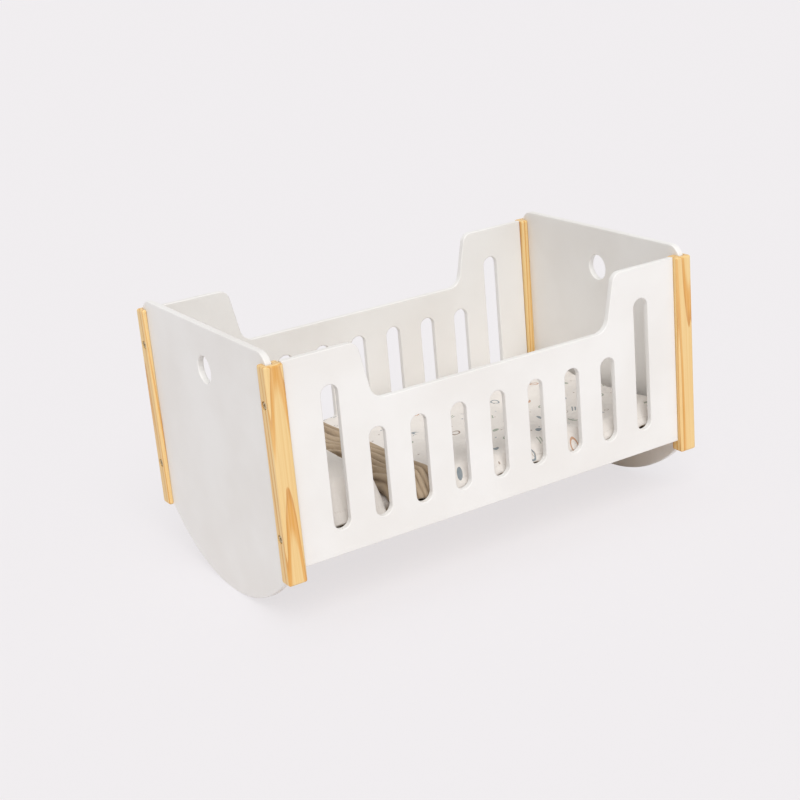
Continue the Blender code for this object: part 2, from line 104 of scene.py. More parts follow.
class BedSizes(bpy.types.PropertyGroup):
    board_edge: length("Board edge", "Rounding of the painted boards' edges", 0.0012)
    end_corner: length("End corner", "Radius of the end panels' upper corners", 0.017)
    finger_hole: length("Finger hole", "Diameter of the hole in each end panel", 0.029)
    finger_hole_drop: length("Finger hole drop", "From an end panel's top to its hole's middle", 0.047)
    rail_drop: length("Rail drop", "From a side panel's raised end down to its rail", 0.0615)
    raised_end: length("Raised end", "Length of a side panel's raised end", 0.082)
    step_slant: length("Step slant", "How far the step leans towards the middle", 0.0127)
    step_top: length("Step top", "Radius of the step's upper corner", 0.012)
    step_foot: length("Step foot", "Radius of the step's lower corner", 0.016)
    slot_width: length("Slot width", "Width of the slots", 0.019)
    slot_foot: length("Slot foot", "From a side panel's lower edge to its slots", 0.026)
    short_slot: length("Short slot", "Length of the slots under the rail", 0.094)
    tall_slot: length("Tall slot", "Length of the slots under the raised ends", 0.149)
    tall_slot_inset: length("Tall slot inset", "From a side panel's end to its tall slot's middle", 0.0472)
    slot_count: IntProperty(name="Slots", description="Slots in a side panel", default=9, min=3)
    growth_ring: length("Growth ring", "Width of a year's growth in the pine", 0.00413)
    thread: length("Thread", "Distance between the threads of the cotton", 0.00055)
    fold_pitch: length("Fold pitch", "Distance between the gathered folds of the quilt's cuff", 0.0098)
    fold_height: length("Fold height", "Height of the gathered folds of the quilt's cuff", 0.0090)
    cloth_mesh: length("Cloth mesh", "Distance between the points of the bedding's cloth", 0.0036)
    cuff_mesh: length("Cuff mesh", "Distance between the rows of points in the quilt's cuff", 0.0015)
    quilt_padding: length("Quilt padding", "Thickness of the quilt", 0.009)
    quilt_layers: length("Quilt layers", "Height of the turned-back layer over the one below it", 0.013)
    quilt_fold: length("Quilt fold", "Height of the quilt's long soft folds", 0.0060)
    quilt_crease: length("Quilt crease", "Depth of the quilt's short creases", 0.0052)
    cuff_narrowing: FloatProperty(
        name="Cuff narrowing", description="Share of its width that the cuff loses towards the back",
        default=0.38)
    cuff_drop: length("Cuff drop", "How far the cuff hangs past the mattress at its long edges", 0.0215)
    tuck: length("Tuck", "How far the quilt's long edges are drawn in under the cuff", 0.0085)
    quilt_drop: length("Quilt drop", "How far the quilt hangs past the mattress at its long edges", 0.0105)
    quilt_cuff: length("Quilt cuff", "How far the quilt's head edge is turned back", 0.046)
    hem: length("Hem", "Width over which the bedding thins out to its hems", 0.012)
    pillow_overhang: length("Pillow overhang", "How far its sides hang over the mattress's edges", 0.0085)
    pillow_seam: length("Pillow seam", "Height of the pillow's seam above the mattress", 0.012)
    topstitch: length("Topstitch", "From a hem to the row of stitches beside it", 0.006)
    stitch: length("Stitch", "Distance between stitches", 0.0034)
    print_pitch: length("Print pitch", "Distance between the printed motifs", 0.030)


class BedColours(bpy.types.PropertyGroup):
    paint: colour("Paint", "White of the boards", tint(241, 239, 236))
    paint_shade: colour("Paint shade", "The paint where it is thinner", tint(231, 227, 222))
    pine_early: colour("Early wood", "Pale part of the pine's growth rings", tint(237, 201, 137))
    pine_late: colour("Late wood", "Dark part of the pine's growth rings", tint(224, 163, 76))
    pine_line: colour("Ring line", "Thin line where a year's growth ends", tint(188, 120, 52))
    ply_face: colour("Plywood", "Face of the base board", tint(222, 196, 156))
    ply_grain: colour("Plywood grain", "Grain of the base board", tint(196, 162, 116))
    steel: colour("Steel", "Plated steel of the screws", tint(206, 188, 152))
    steel_dark: colour("Dark steel", "Recesses and scratches of the screws", tint(140, 118, 88))
    cotton: colour("Cotton", "Ground of the printed cotton", tint(238, 232, 226))
    lining: colour("Lining", "Plain cotton of the quilt's lining", tint(188, 168, 143))
    mattress: colour("Mattress", "Plain cotton of the mattress", tint(230, 223, 217))
    print_slate: colour("Slate", "Grey-blue of the print", tint(124, 138, 146))
    print_sage: colour("Sage", "Grey-green of the print", tint(158, 168, 152))
    print_clay: colour("Clay", "Orange of the print", tint(202, 152, 116))
    print_earth: colour("Earth", "Brown of the print", tint(140, 116, 98))
    floor: colour("Floor", "Floor and backdrop", tint(241, 238, 240))


class StageSettings(bpy.types.PropertyGroup):
    camera_place: FloatVectorProperty(
        name="Camera place", description="Where the camera stands", default=(-0.8626, -1.394, 0.7134),
        subtype="TRANSLATION", unit="LENGTH")
    camera_turn: FloatVectorProperty(
        name="Camera turn", description="The camera's tilt up from straight down, its roll and its heading",
        default=(math.radians(90 - 19.10), math.radians(5.17), math.radians(-30.81)), subtype="EULER",
        unit="ROTATION")
    lens: FloatProperty(name="Lens", description="Focal length of the camera", default=71.2, unit="CAMERA")
    ambient: FloatProperty(
        name="Ambient", description="Strength of the even light from all round", default=0.55)
    key: FloatProperty(name="Key", description="Strength of the broad light from the front", default=1.78)
    key_from: FloatVectorProperty(
        name="Key from", description="The direction that the broad light comes from",
        default=(-0.24, -0.60, 0.76), subtype="XYZ")
    softness: FloatProperty(
        name="Softness", description="How broad that light is, seen from the bed", default=math.radians(38),
        subtype="ANGLE")
    pale_shadow: FloatProperty(
        name="Pale shadow",
        description="Share of the backdrop's own light in what the camera sees of the floor", default=0.80)


# Node trees as expressions

def first_input(operation):
    """A method for a Math node's operation that has the value as its first input."""
    return lambda value, *others: value.math(operation, *others)


def either_input(operation):
    """The methods of an operator with the value before it and with the value behind it."""
    return first_input(operation), lambda value, other: value.swapped(operation, other)


class Value:
    """A socket that expressions can work on: each operation adds its node.

    above and below give 1 where they hold and 0 elsewhere.
    """

    __add__, __radd__ = either_input("ADD")
    __sub__, __rsub__ = either_input("SUBTRACT")
    __mul__, __rmul__ = either_input("MULTIPLY")
    __truediv__, __rtruediv__ = either_input("DIVIDE")
    __abs__ = first_input("ABSOLUTE")
    root = first_input("SQRT")
    fraction = first_input("FRACT")
    sine, cosine = first_input("SINE"), first_input("COSINE")
    above, below = first_input("GREATER_THAN"), first_input("LESS_THAN")
    smallest, largest = first_input("MINIMUM"), first_input("MAXIMUM")

    def __init__(self, nodes, socket):
        self.nodes = nodes
        self.socket = socket

    def output(self, name):
        """Another output of the same node."""
        return Value(self.nodes, self.socket.node.outputs[name])

    def math(self, operation, *others, clamp=False):
        """The result of a Math node whose first input is this value."""
        values = dict(enumerate((self, *others)))
        return self.nodes.add("ShaderNodeMath", {"operation": operation, "use_clamp": clamp}, values)

    def swapped(self, operation, other):
        """The same with this value as the second input."""
        return self.nodes.add("ShaderNodeMath", {"operation": operation}, {0: other, 1: self})

    def clamped(self):
        return self.math("ADD", 0.0, clamp=True)

    def rise(self, low, high):
        """From 0 at low to 1 at high, eased at both ends; low may be the larger."""
        return self.nodes.add("ShaderNodeMapRange", {"interpolation_type": "SMOOTHSTEP"},
                              {"Value": self, "From Min": low, "From Max": high})


class NodeTree:
    """The node tree of a material or of the world."""

    def __init__(self, owner):
        owner.use_nodes = True
        self.tree = owner.node_tree

    def connect(self, node, values):
        for name, value in values.items():
            if isinstance(value, Value):
                self.tree.links.new(value.socket, node.inputs[name])
            else:
                node.inputs[name].default_value = value

    def add(self, kind, settings=None, values=None, output=0):
        """A new node with its settings and its sockets' values or links, as the value of one output."""
        node = self.tree.nodes.new(kind)
        for name, setting in (settings or {}).items():
            setattr(node, name, setting)
        self.connect(node, values or {})
        return Value(self, node.outputs[output])

    def given(self, name):
        """The first output of a node that the tree came with."""
        return Value(self, self.tree.nodes[name].outputs[0])

    def show(self, surface, end):
        """Link a shader to the tree's own last node."""
        self.connect(self.tree.nodes[end], {"Surface": surface})


class Nodes(NodeTree):
    """The node tree of one material."""

    # Numbers of the Mix node's colour sockets, whose names it uses more than once
    MIX_FACTOR, MIX_FIRST, MIX_SECOND, MIX_RESULT = 0, 6, 7, 2

    def __init__(self, name):
        self.material = bpy.data.materials.new(name)
        super().__init__(self.material)

    def mix(self, factor, first, second, blend="MIX"):
        """Two colours mixed; the second shows where the factor is 1."""
        first, second = [shade if isinstance(shade, Value) else (*shade, 1.0) for shade in (first, second)]
        values = {self.MIX_FACTOR: factor, self.MIX_FIRST: first, self.MIX_SECOND: second}
        return self.add("ShaderNodeMix", {"data_type": "RGBA", "blend_type": blend}, values, self.MIX_RESULT)

    def darker(self, tone, share):
        """A colour with each of its channels cut down to a share."""
        return self.mix(1.0, tone, share, "MULTIPLY")

    def vector(self, operation, first, second):
        return self.add("ShaderNodeVectorMath", {"operation": operation}, {0: first, 1: second})

    def combined(self, x, y, z=0.0):
        return self.add("ShaderNodeCombineXYZ", None, {"X": x, "Y": y, "Z": z})

    def parts(self, vector):
        x = self.add("ShaderNodeSeparateXYZ", None, {"Vector": vector})
        return x, x.output("Y"), x.output("Z")

    def place(self):
        """Where a point is in the bed's own frame."""
        return self.add("ShaderNodeTexCoord", output="Object")

    def cloth_place(self):
        """Where a point lies on the flat cloth, in metres."""
        return self.add("ShaderNodeTexCoord", output="UV")

    def noise(self, vector, scale, detail=2.0, roughness=0.5, output=0):
        return self.add("ShaderNodeTexNoise", None,
                        {"Vector": vector, "Scale": scale, "Detail": detail, "Roughness": roughness}, output)

    def bump(self, height, depth, strength, below=None):
        """Relief of a depth in metres, over another bump's relief if there is one."""
        values = {"Height": height, "Distance": depth, "Strength": strength}
        if below:
            values["Normal"] = below
        return self.add("ShaderNodeBump", None, values)

    def finish(self, **sockets):
        """Set the shader's sockets, whose names are written with underscores, and hand over the material."""
        shader = self.tree.nodes["Principled BSDF"]
        self.connect(shader, {name.replace("_", " "): value for name, value in sockets.items()})
        return self.material


# Finishes: scales are in features per metre, and depths of relief in metres

PAINT_RELIEF = 0.00005
PINE_RELIEF = 0.00006
PLYWOOD_RELIEF = 0.00004
STEEL_RELIEF = 0.00003
CRUMPLE_RELIEF = 0.0022
PINE_GLEAM = tint(255, 232, 178)
COTTON_WORN = (0.80, 0.77, 0.73)
COTTON_CLOUDY = (0.90, 0.885, 0.86)
# Painted shade for the bedding's fold valleys
COTTON_FOLD_SHADE = (0.42, 0.37, 0.32)


def white_paint(colours):
    """Sprayed satin paint: a faint orange peel, with slight changes of tone and gloss."""
    nodes = Nodes("white_paint")
    place = nodes.place()
    cloudy = nodes.noise(place, scale=9.0, detail=3.0).rise(0.35, 0.7)
    peel = nodes.noise(place, scale=420.0)
    dust = nodes.noise(place, scale=1500.0, detail=1.0).rise(0.68, 0.80)
    tone = nodes.mix(cloudy * 0.55 + dust * 0.12, colours.paint, colours.paint_shade)
    relief = nodes.bump(peel + dust * 0.25, PAINT_RELIEF, strength=0.7)
    return nodes.finish(Base_Color=tone, Roughness=0.36 + cloudy * 0.08 + peel * 0.06, Normal=relief)


# The shares by which lengths along the grain count, so that patterns are drawn out: for the pine's rings, its
# fibres and its streaks
RINGS_ALONG = 0.12
FIBRES_ALONG = 0.025
STREAKS_ALONG = 0.012

# A year's growth, from 0 to 1: where its late wood and its thin line set in, and where both end. Some years
# are added so that the count stays above 0
LATE_WOOD = (0.60, 0.77)
YEAR_LINE = (0.86, 0.95)
YEAR_END = (1.0, 0.975)
YEARS_ADDED = 40.0

# Where the log's heart lies from a piece's middle, as shares of the growth ring's width, how it leans and
# bows over the piece's length, and how far through a year's growth the rings begin
Log = collections.namedtuple("Log", ("heart_shares", "lean", "bow", "year_share"))
PINE_LOGS = {
    "post_head_front": Log(heart_shares=(0.1, 2.42), lean=(0.010, 0.028), bow=-0.02, year_share=0.68),
    "post_head_back": Log(heart_shares=(-3.9, 0.8), lean=(-0.022, 0.012), bow=-0.05, year_share=0.30),
    "post_foot_front": Log(heart_shares=(1.1, 3.1), lean=(0.018, -0.020), bow=0.06, year_share=0.10),
    "post_foot_back": Log(heart_shares=(3.4, -2.0), lean=(0.014, 0.024), bow=0.03, year_share=0.55),
    "base_cleat_front": Log(heart_shares=(2.8, 4.0), lean=(0.006, 0.010), bow=0.01, year_share=0.20),
    "base_cleat_back": Log(heart_shares=(-3.3, 4.4), lean=(0.012, -0.008), bow=0.01, year_share=0.80),
}


def pine(name, lengthwise, colours, sizes):
    """Lacquered pine, sawn from a log whose growth rings, fibres and end grain run through the whole piece.

    The grain runs along Z in a post and along X in a cleat.
    """
    nodes = Nodes(name)
    log = PINE_LOGS[name]
    ring = sizes.growth_ring
    low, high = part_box(name)
    x, y, z = nodes.parts(nodes.vector("SUBTRACT", nodes.place(), (low + high) / 2))
    across, through, along = (y, z, x) if lengthwise == "X" else (x, y, z)

    long_grain = nodes.combined(across, through, along * RINGS_ALONG)
    sway = nodes.noise(long_grain, scale=55.0) - 0.5
    ripple = nodes.noise(long_grain, scale=260.0) - 0.5
    bow = along * along * log.bow
    across_heart = across - log.heart_shares[0] * ring - along * log.lean[0]
    through_heart = through - log.heart_shares[1] * ring - along * log.lean[1] + bow
    radius = (across_heart * across_heart + through_heart * through_heart).root()
    year = (radius / ring + log.year_share + sway * 0.15 + ripple * 0.05 + YEARS_ADDED).fraction()
    late = year.rise(*LATE_WOOD) * year.rise(*YEAR_END)
    line = year.rise(*YEAR_LINE) * year.rise(*YEAR_END)

    fibre_grain = nodes.combined(across, through, along * FIBRES_ALONG)
    fibre = nodes.noise(fibre_grain, scale=1500.0, detail=3.0, roughness=0.6)
    streak = nodes.noise(nodes.combined(across, through, along * STREAKS_ALONG), scale=480.0)
    cloudy = nodes.noise(long_grain, scale=22.0)
    dark = (late * 0.92 + (cloudy - 0.5) * 0.5 + (streak - 0.5) * 0.35).clamped()
    tone = nodes.mix(dark, colours.pine_early, colours.pine_late)
    tone = nodes.mix((line * 0.42 + fibre.rise(0.60, 0.78) * 0.16).clamped(), tone, colours.pine_line)
    tone = nodes.mix(streak.rise(0.60, 0.35) * 0.18, tone, PINE_GLEAM)
    relief = nodes.bump(fibre * 0.5 + late * 0.6 + streak * 0.3, PINE_RELIEF, strength=0.8)
    return nodes.finish(Base_Color=tone, Roughness=0.46 + fibre * 0.16 - late * 0.08,
                        Coat_Weight=0.22 + late * 0.10, Coat_Roughness=0.30, Normal=relief)


# The same for the plywood's flames and pores, and how many rings a flame is made of
FLAMES_ALONG = 0.16
PORES_ALONG = 0.05
FLAME_RINGS = 9.0


def plywood(colours):
    """A rotary-cut birch face: long flames and short dark pores."""
    nodes = Nodes("plywood")
    x, y, z = nodes.parts(nodes.place())
    drawn = nodes.combined(x * FLAMES_ALONG, y, z)
    flame = nodes.noise(drawn, scale=26.0, detail=3.0)
    rings = abs((flame * FLAME_RINGS).fraction() - 0.5).rise(0.5, 0.15)
    pores = nodes.noise(nodes.combined(x * PORES_ALONG, y, z), scale=1400.0).rise(0.62, 0.74)
    tone = nodes.mix((rings * 0.45 + pores * 0.4).clamped(), colours.ply_face, colours.ply_grain)
    relief = nodes.bump(rings - pores, PLYWOOD_RELIEF, strength=0.6)
    return nodes.finish(Base_Color=tone, Roughness=0.6 + flame * 0.1, Normal=relief)


def plated_steel(colours):
    """Yellowish plated steel, scratched and blotched with tarnish."""
    nodes = Nodes("zinc_steel")
    place = nodes.place()
    blotch = nodes.noise(place, scale=700.0, detail=3.0)
    scratch = nodes.noise(place, scale=5200.0)
    tone = nodes.mix(blotch.rise(0.35, 0.65) * 0.6, colours.steel, colours.steel_dark)
    relief = nodes.bump(scratch, STEEL_RELIEF, strength=0.5)
    return nodes.finish(Base_Color=tone, Metallic=0.75, Roughness=0.38 + blotch * 0.2, Normal=relief)


# The cotton's threads: the share by which lengths along them count for their uneven stretches, and how many of
# those lie side by side in a thread's width. The stitches: from the row's middle to its thread's edge and to
# where it is full, in metres, and where in a stitch's length its gap ends
STRETCHES_ALONG = 0.08
STRETCHES_ACROSS = 1.1
STITCH_THREAD = (0.0005, 0.0002)
STITCH_GAP_END = (0.28, 0.40)


def weave_height(nodes, place, thread):
    """A plain weave's relief, warp over weft and weft over warp by turns, and its threads' unevenness."""
    u, v = nodes.parts(place)[:2]
    uneven_weft = nodes.noise(nodes.combined(u * STRETCHES_ALONG, v), scale=STRETCHES_ACROSS / thread)
    uneven_warp = nodes.noise(nodes.combined(u, v * STRETCHES_ALONG), scale=STRETCHES_ACROSS / thread)
    turn = math.pi / thread
    warp = (u * turn).sine()
    weft = (v * turn).sine()
    over = (warp * warp).smallest(weft * weft)
    uneven = uneven_weft + uneven_warp
    return abs(warp * weft).root() * 0.7 + over * 0.3 + uneven * 0.35, uneven


def hem_stitches(nodes, place, cloth_size, sizes):
    """1 on the thread of a row of stitches that follows the cloth's four hems."""
    u, v = nodes.parts(place)[:2]
    from_ends = u.smallest(cloth_size[0] - u)
    from_sides = v.smallest(cloth_size[1] - v)
    row = abs(from_ends.smallest(from_sides) - sizes.topstitch).rise(*STITCH_THREAD)
    along = (u + v) / sizes.stitch
    return row * along.fraction().rise(*STITCH_GAP_END)


def cotton_shading(nodes, tone, cloth_size, sizes):
    """Finish a cotton cloth: its threads' relief and unevenness, its crumpling, stitches and sheen."""
    place = nodes.cloth_place()
    weave, uneven = weave_height(nodes, place, sizes.thread)
    crumple = nodes.noise(place, scale=75.0, detail=4.0, roughness=0.55)
    stitches = hem_stitches(nodes, place, cloth_size, sizes)
    worn = (uneven * 0.5).rise(0.30, 0.70)
    tone = nodes.mix(worn * 0.10 + stitches * 0.22, tone, nodes.darker(tone, COTTON_WORN))
    threads = nodes.bump(weave - stitches * 2.0, sizes.thread * 0.22, strength=0.7)
    relief = nodes.bump(crumple, CRUMPLE_RELIEF, strength=0.5, below=threads)
    return nodes.finish(Base_Color=tone, Roughness=0.86 + worn * 0.08, Normal=relief,
                        Sheen_Weight=0.12, Sheen_Roughness=0.5, Specular_IOR_Level=0.25)


def plain_cotton(name, ground, cloth_size, sizes):
    """Cotton of one colour, a little cloudy, with painted shade deep in its folds."""
    nodes = Nodes(name)
    cloudy = nodes.noise(nodes.cloth_place(), scale=18.0, detail=3.0)
    tone = nodes.mix(cloudy * 0.25, ground, nodes.darker(ground, COTTON_CLOUDY))
    # Painted shade: the colour darkens where the point attribute says the cloth lies deep in a fold
    painted_fold_shade = nodes.add("ShaderNodeAttribute", {"attribute_name": FOLD_SHADE}, output="Fac")
    tone = nodes.mix(painted_fold_shade, tone, nodes.darker(tone, COTTON_FOLD_SHADE))
    return cotton_shading(nodes, tone, cloth_size, sizes)


# The printed motifs: radii or half lengths and half widths, half line widths, all in metres, and the chances
# between which a cell holds each kind
PEBBLE, PEBBLES = (0.0046, 0.0030), (0.0, 0.40)
VEIN, VEIN_LINE, VEINED = (0.0027, 0.0014), 0.0003, (0.0, 0.20)
RING, RING_LINE, RINGS = (0.0046, 0.0046), 0.0008, (0.40, 0.56)
MOON, MOON_BITE, BITE_PLACE, MOONS = (0.0056, 0.0056), (0.0052, 0.0052), (0.0030, 0.0010), (0.56, 0.80)
STROKES, STROKE_LINE, STROKED = ((0.0042, 0.0016), (0.0030, -0.0016)), 0.0007, (0.80, 1.0)
DOT, DOTS = (0.0011, 0.0011), (0.0, 0.30)
FINE_RING, FINE_LINE, FINE_RINGS = (0.0021, 0.0021), 0.00028, (0.46, 0.58)
HAND_WOBBLE = 0.0011
INK_BLEED = 0.00022

# How loosely the motifs are scattered, how closely the small ones, their offset from the large ones and how
# far aslant an offset runs, and the share of large ones that are warm
LOOSENESS = 0.72
SMALL_PITCH_SHARE = 0.52
SMALL_OFFSET = 0.413
OFFSET_ASLANT = 0.37
WARM_SHARE = 0.32


class Motif:
    """One printed motif's own plane: centred on it and turned at random."""

    def __init__(self, nodes, place, pitch, offset):
        moved = nodes.vector("ADD", place, (offset, offset * OFFSET_ASLANT, 0.0))
        cell = nodes.add("ShaderNodeTexVoronoi", {"voronoi_dimensions": "2D", "feature": "F1"},
                         {"Vector": moved, "Scale": 1 / pitch, "Randomness": LOOSENESS}, "Position")
        self.chance, self.pick, self.turn = nodes.parts(cell.output("Color"))
        x, y = nodes.parts(nodes.vector("SUBTRACT", moved, cell))[:2]
        angle = self.turn * math.tau
        cosine, sine = angle.cosine(), angle.sine()
        self.x = x * cosine + y * sine
        self.y = y * cosine - x * sine

    def is_kind(self, low, high):
        """1 in the cells whose chance lies between low and high."""
        return self.chance.above(low) * self.chance.below(high)

    def oval(self, half_length, half_width, x=0.0, y=0.0):
        """How far outside an oval a point is, about in metres, negative inside."""
        across, up = (self.x - x) / half_length, (self.y - y) / half_width
        return ((across * across + up * up).root() - 1.0) * half_width

    def dash(self, half_length, y):
        """How far a point is from a straight stroke."""
        across = (abs(self.x) - half_length).largest(0.0)
        up = self.y - y
        return (across * across + up * up).root()


def ink(distance, half_width=0.0):
    """1 on a shape and 0 off it, with the slight bleed of ink in cloth."""
    return (distance - half_width).rise(INK_BLEED, -INK_BLEED)


def printed_cotton(name, colours, cloth_size, sizes):
    """Light cotton with a loose scatter of pebbles, rings, crescents, paired dashes and dots."""
    nodes = Nodes(name)
    place = nodes.cloth_place()
    uneven = nodes.noise(place, scale=160.0, detail=1.0, output="Color")
    wobble = nodes.vector("SUBTRACT", uneven, (0.5, 0.5, 0.5))
    drawn = nodes.vector("ADD", place, nodes.vector("MULTIPLY", wobble, (HAND_WOBBLE, HAND_WOBBLE, 0.0)))
    large = Motif(nodes, drawn, sizes.print_pitch, 0.0)
    small = Motif(nodes, drawn, sizes.print_pitch * SMALL_PITCH_SHARE, SMALL_OFFSET)

    pebble = ink(large.oval(*PEBBLE)) * large.is_kind(*PEBBLES)
    vein = ink(abs(large.oval(*VEIN)), VEIN_LINE) * large.is_kind(*VEINED)
    ring = ink(abs(large.oval(*RING)), RING_LINE) * large.is_kind(*RINGS)
    moon = ink(large.oval(*MOON)) * (1 - ink(large.oval(*MOON_BITE, *BITE_PLACE))) * large.is_kind(*MOONS)
    first, second = [ink(large.dash(*stroke), STROKE_LINE) for stroke in STROKES]
    strokes = (first + second) * large.is_kind(*STROKED)
    dots = ink(small.oval(*DOT)) * small.is_kind(*DOTS)
    fine_ring = ink(abs(small.oval(*FINE_RING)), FINE_LINE) * small.is_kind(*FINE_RINGS)

    warm = nodes.mix(large.pick.above(0.5), colours.print_clay, colours.print_earth)
    cool = nodes.mix(large.pick.above(0.5), colours.print_slate, colours.print_sage)
    large_ink = nodes.mix(large.turn.above(WARM_SHARE), warm, cool)
    small_ink = nodes.mix(small.pick.above(0.5), colours.print_earth, colours.print_slate)

    faded = 0.72 + nodes.noise(place, scale=300.0) * 0.3
    shown_large = ((pebble * (1 - vein) + ring + moon + strokes) * faded).clamped()
    shown_small = ((dots + fine_ring) * faded * 0.8).clamped()
    tone = nodes.mix(shown_small, colours.cotton, small_ink)
    tone = nodes.mix(shown_large, tone, large_ink)
    return cotton_shading(nodes, tone, cloth_size, sizes)


# Meshes

CORNER_STEPS = 14
SLOT_END_STEPS = 24
ROCKER_STEPS = 96
HOLE_STEPS = 72
SHARP_ANGLE = math.radians(40)


def new_piece(name, data, *materials):
    """Link a mesh, with its materials, or a curve, light or camera as a piece of its own."""
    piece = bpy.data.objects.new(name, data)
    bpy.context.scene.collection.objects.link(piece)
    for material in materials:
        data.materials.append(material)
    return piece


def dress_node(name, material):
    """Give a solid of the frame its finish and leave its shape alone."""
    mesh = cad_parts[name].data
    mesh.materials.clear()
    mesh.materials.append(material)


def evaluated_mesh(piece):
    """The mesh of a piece with its modifiers worked in."""
    bpy.context.view_layer.update()
    return bpy.data.meshes.new_from_object(piece.evaluated_get(bpy.context.evaluated_depsgraph_get()))


def arc(centre, radius, start, end, steps):
    """Points along part of a circle, both ends included."""
    turns = [start + (end - start) * step / steps for step in range(steps + 1)]
    return [(centre[0] + radius * math.cos(turn), centre[1] + radius * math.sin(turn)) for turn in turns]


def rounded_corner(before, corner, after, radius):
    """The arc that rounds a corner between two straight edges."""
    corner = Vector(corner)
    inward = (Vector(before) - corner).normalized()
    outward = (Vector(after) - corner).normalized()
    half_angle = inward.angle(outward) / 2
    centre = corner + (inward + outward).normalized() * radius / math.sin(half_angle)
    first = corner + inward * radius / math.tan(half_angle) - centre
    last = corner + outward * radius / math.tan(half_angle) - centre
    start = math.atan2(first.y, first.x)
    sweep = math.remainder(math.atan2(last.y, last.x) - start, math.tau)
    return arc(centre, radius, start, start + sweep, CORNER_STEPS)


def board_mesh(name, outlines, thickness, edge):
    """A flat board with rounded edges from its outline and its openings', centred on its own thickness."""
    curve = bpy.data.curves.new(name, "CURVE")
    curve.dimensions = "2D"
    curve.fill_mode = "BOTH"
    curve.extrude = thickness / 2 - edge
    curve.bevel_depth = edge
    curve.bevel_resolution = 2
    curve.offset = -edge
    for outline in outlines:
        spline = curve.splines.new("POLY")
        spline.points.add(len(outline) - 1)
        for point, (across, up) in zip(spline.points, outline):
            point.co = (across, up, 0, 1)
        spline.use_cyclic_u = True
    guide = new_piece(name, curve)
    mesh = evaluated_mesh(guide)
    bpy.data.objects.remove(guide)
    bpy.data.curves.remove(curve)
    seam = edge / 60
    form = bmesh.new()
    form.from_mesh(mesh)
    bmesh.ops.remove_doubles(form, verts=form.verts, dist=seam)
    bmesh.ops.recalc_face_normals(form, faces=form.faces)
    form.to_mesh(mesh)
    form.free()
    mesh.name = name
    mesh.materials.clear()
    mesh.shade_smooth()
    mesh.set_sharp_from_angle(angle=SHARP_ANGLE)
    return mesh


def stand_up(mesh, turn, place):
    """Turn a flat mesh upright and put it in the bed's frame."""
    mesh.transform(Matrix.Translation(place) @ Euler(turn).to_matrix().to_4x4())


def slot_outline(middle, foot, slot_length, width):
    """An upright slot with round ends."""
    radius = width / 2
    upper_end = arc((middle, foot + slot_length - radius), radius, 0, math.pi, SLOT_END_STEPS)
    lower_end = arc((middle, foot + radius), radius, math.pi, math.tau, SLOT_END_STEPS)
    return upper_end + lower_end


def side_panel_outlines(low, high, sizes):
    """The board's edge with its two steps, and its slots."""
    half = high.x
    rail = high.z - sizes.rail_drop
    step_top = half - sizes.raised_end
    step_foot = step_top - sizes.step_slant
    shoulder = rounded_corner((half, high.z), (step_top, high.z), (step_foot, rail), sizes.step_top)
    hollow = rounded_corner((step_top, high.z), (step_foot, rail), (-step_foot, rail), sizes.step_foot)
    right = [(half, low.z), (half, high.z)] + shoulder + hollow
    left = [(-across, up) for across, up in reversed(right)]
    slot_foot = low.z + sizes.slot_foot
    reach = half - sizes.tall_slot_inset
    pitch = 2 * reach / (sizes.slot_count - 1)
    slots = []
    for index in range(sizes.slot_count):
        tall = index in (0, sizes.slot_count - 1)
        slot_length = sizes.tall_slot if tall else sizes.short_slot
        slots.append(slot_outline(index * pitch - reach, slot_foot, slot_length, sizes.slot_width))
    return [right + left] + slots


def end_panel_outlines(low, high, sizes):
    """The board's edge with its rocker below, and its finger hole."""
    half = high.y
    post_low, post_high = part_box("post_head_front")
    post_foot, post_inner = post_low.z, -post_high.y
    radius = (post_inner ** 2 + post_foot ** 2) / (2 * post_foot)
    lift = radius - math.sqrt(radius ** 2 - half ** 2)
    sweep = math.asin(half / radius)
    rocker = arc((0, radius), radius, -math.pi / 2 - sweep, -math.pi / 2 + sweep, ROCKER_STEPS)
    right = rounded_corner((half, lift), (half, high.z), (0, high.z), sizes.end_corner)
    left = [(-across, up) for across, up in reversed(right)]
    hole = arc((0, high.z - sizes.finger_hole_drop), sizes.finger_hole / 2, 0, math.tau, HOLE_STEPS)[:-1]
    return [rocker + right + left, hole]


# Bedding: measures in metres, and shares of one

# The room between the quilt and what it lies on, and before its turned head edge
BEDDING_GAP = 0.0004
QUILT_HEAD_PLAY = 0.0012

# Width of the quilt's long edges that falls past the mattress, and the ripples along them
EDGE_RUN = 0.017
RIPPLE_HEIGHT = 0.0016
RIPPLE_PITCH = 0.019
RIPPLE_WANDER = 3

# Drifts: swings per metre each way, and a seed. The shares of the patchy ones: least, mean and swing
RIPPLE_DRIFT = (20, 0, 5)
GATHER_DRIFT = (14, 22, 7.0)
GATHER_PATCHES = (13, 45, 2.0)
GATHER_PATCH_SHARES = (0.25, 0.85, 1.1)
SHADE_PATCHES = (30, 30, 11.0)
SHADE_PATCH_SHARES = (0.2, 0.75, 0.9)
PILLOW_DENTS = (16, 12, 3.0)
MATTRESS_DENTS = (18, 18, 1.0)

# Long folds: their pitch and how far they run aslant. Creases: their turn from the bed's length, their width
FOLD_LENGTH = 0.115
FOLD_ASLANT = 0.35
BROAD_CREASES = (0.9, 0.034)
NARROW_CREASES = (-0.35, 0.022)
NARROW_SHARE = 0.6

# How far a crease wanders, how steeply it rises from its valley and how round it is above; and the mean
# height of the creases
CREASE_WANDER = 1.5
CREASE_STEEPNESS = 2.2
CREASE_ROUNDNESS = 0.7
CREASE_MEAN = 0.35

# Where the quilt's long edges are drawn in: how far past the cuff's hem it ends, and over what length
TUCK_PAST_HEM = 0.012
TUCK_RUN = 0.02
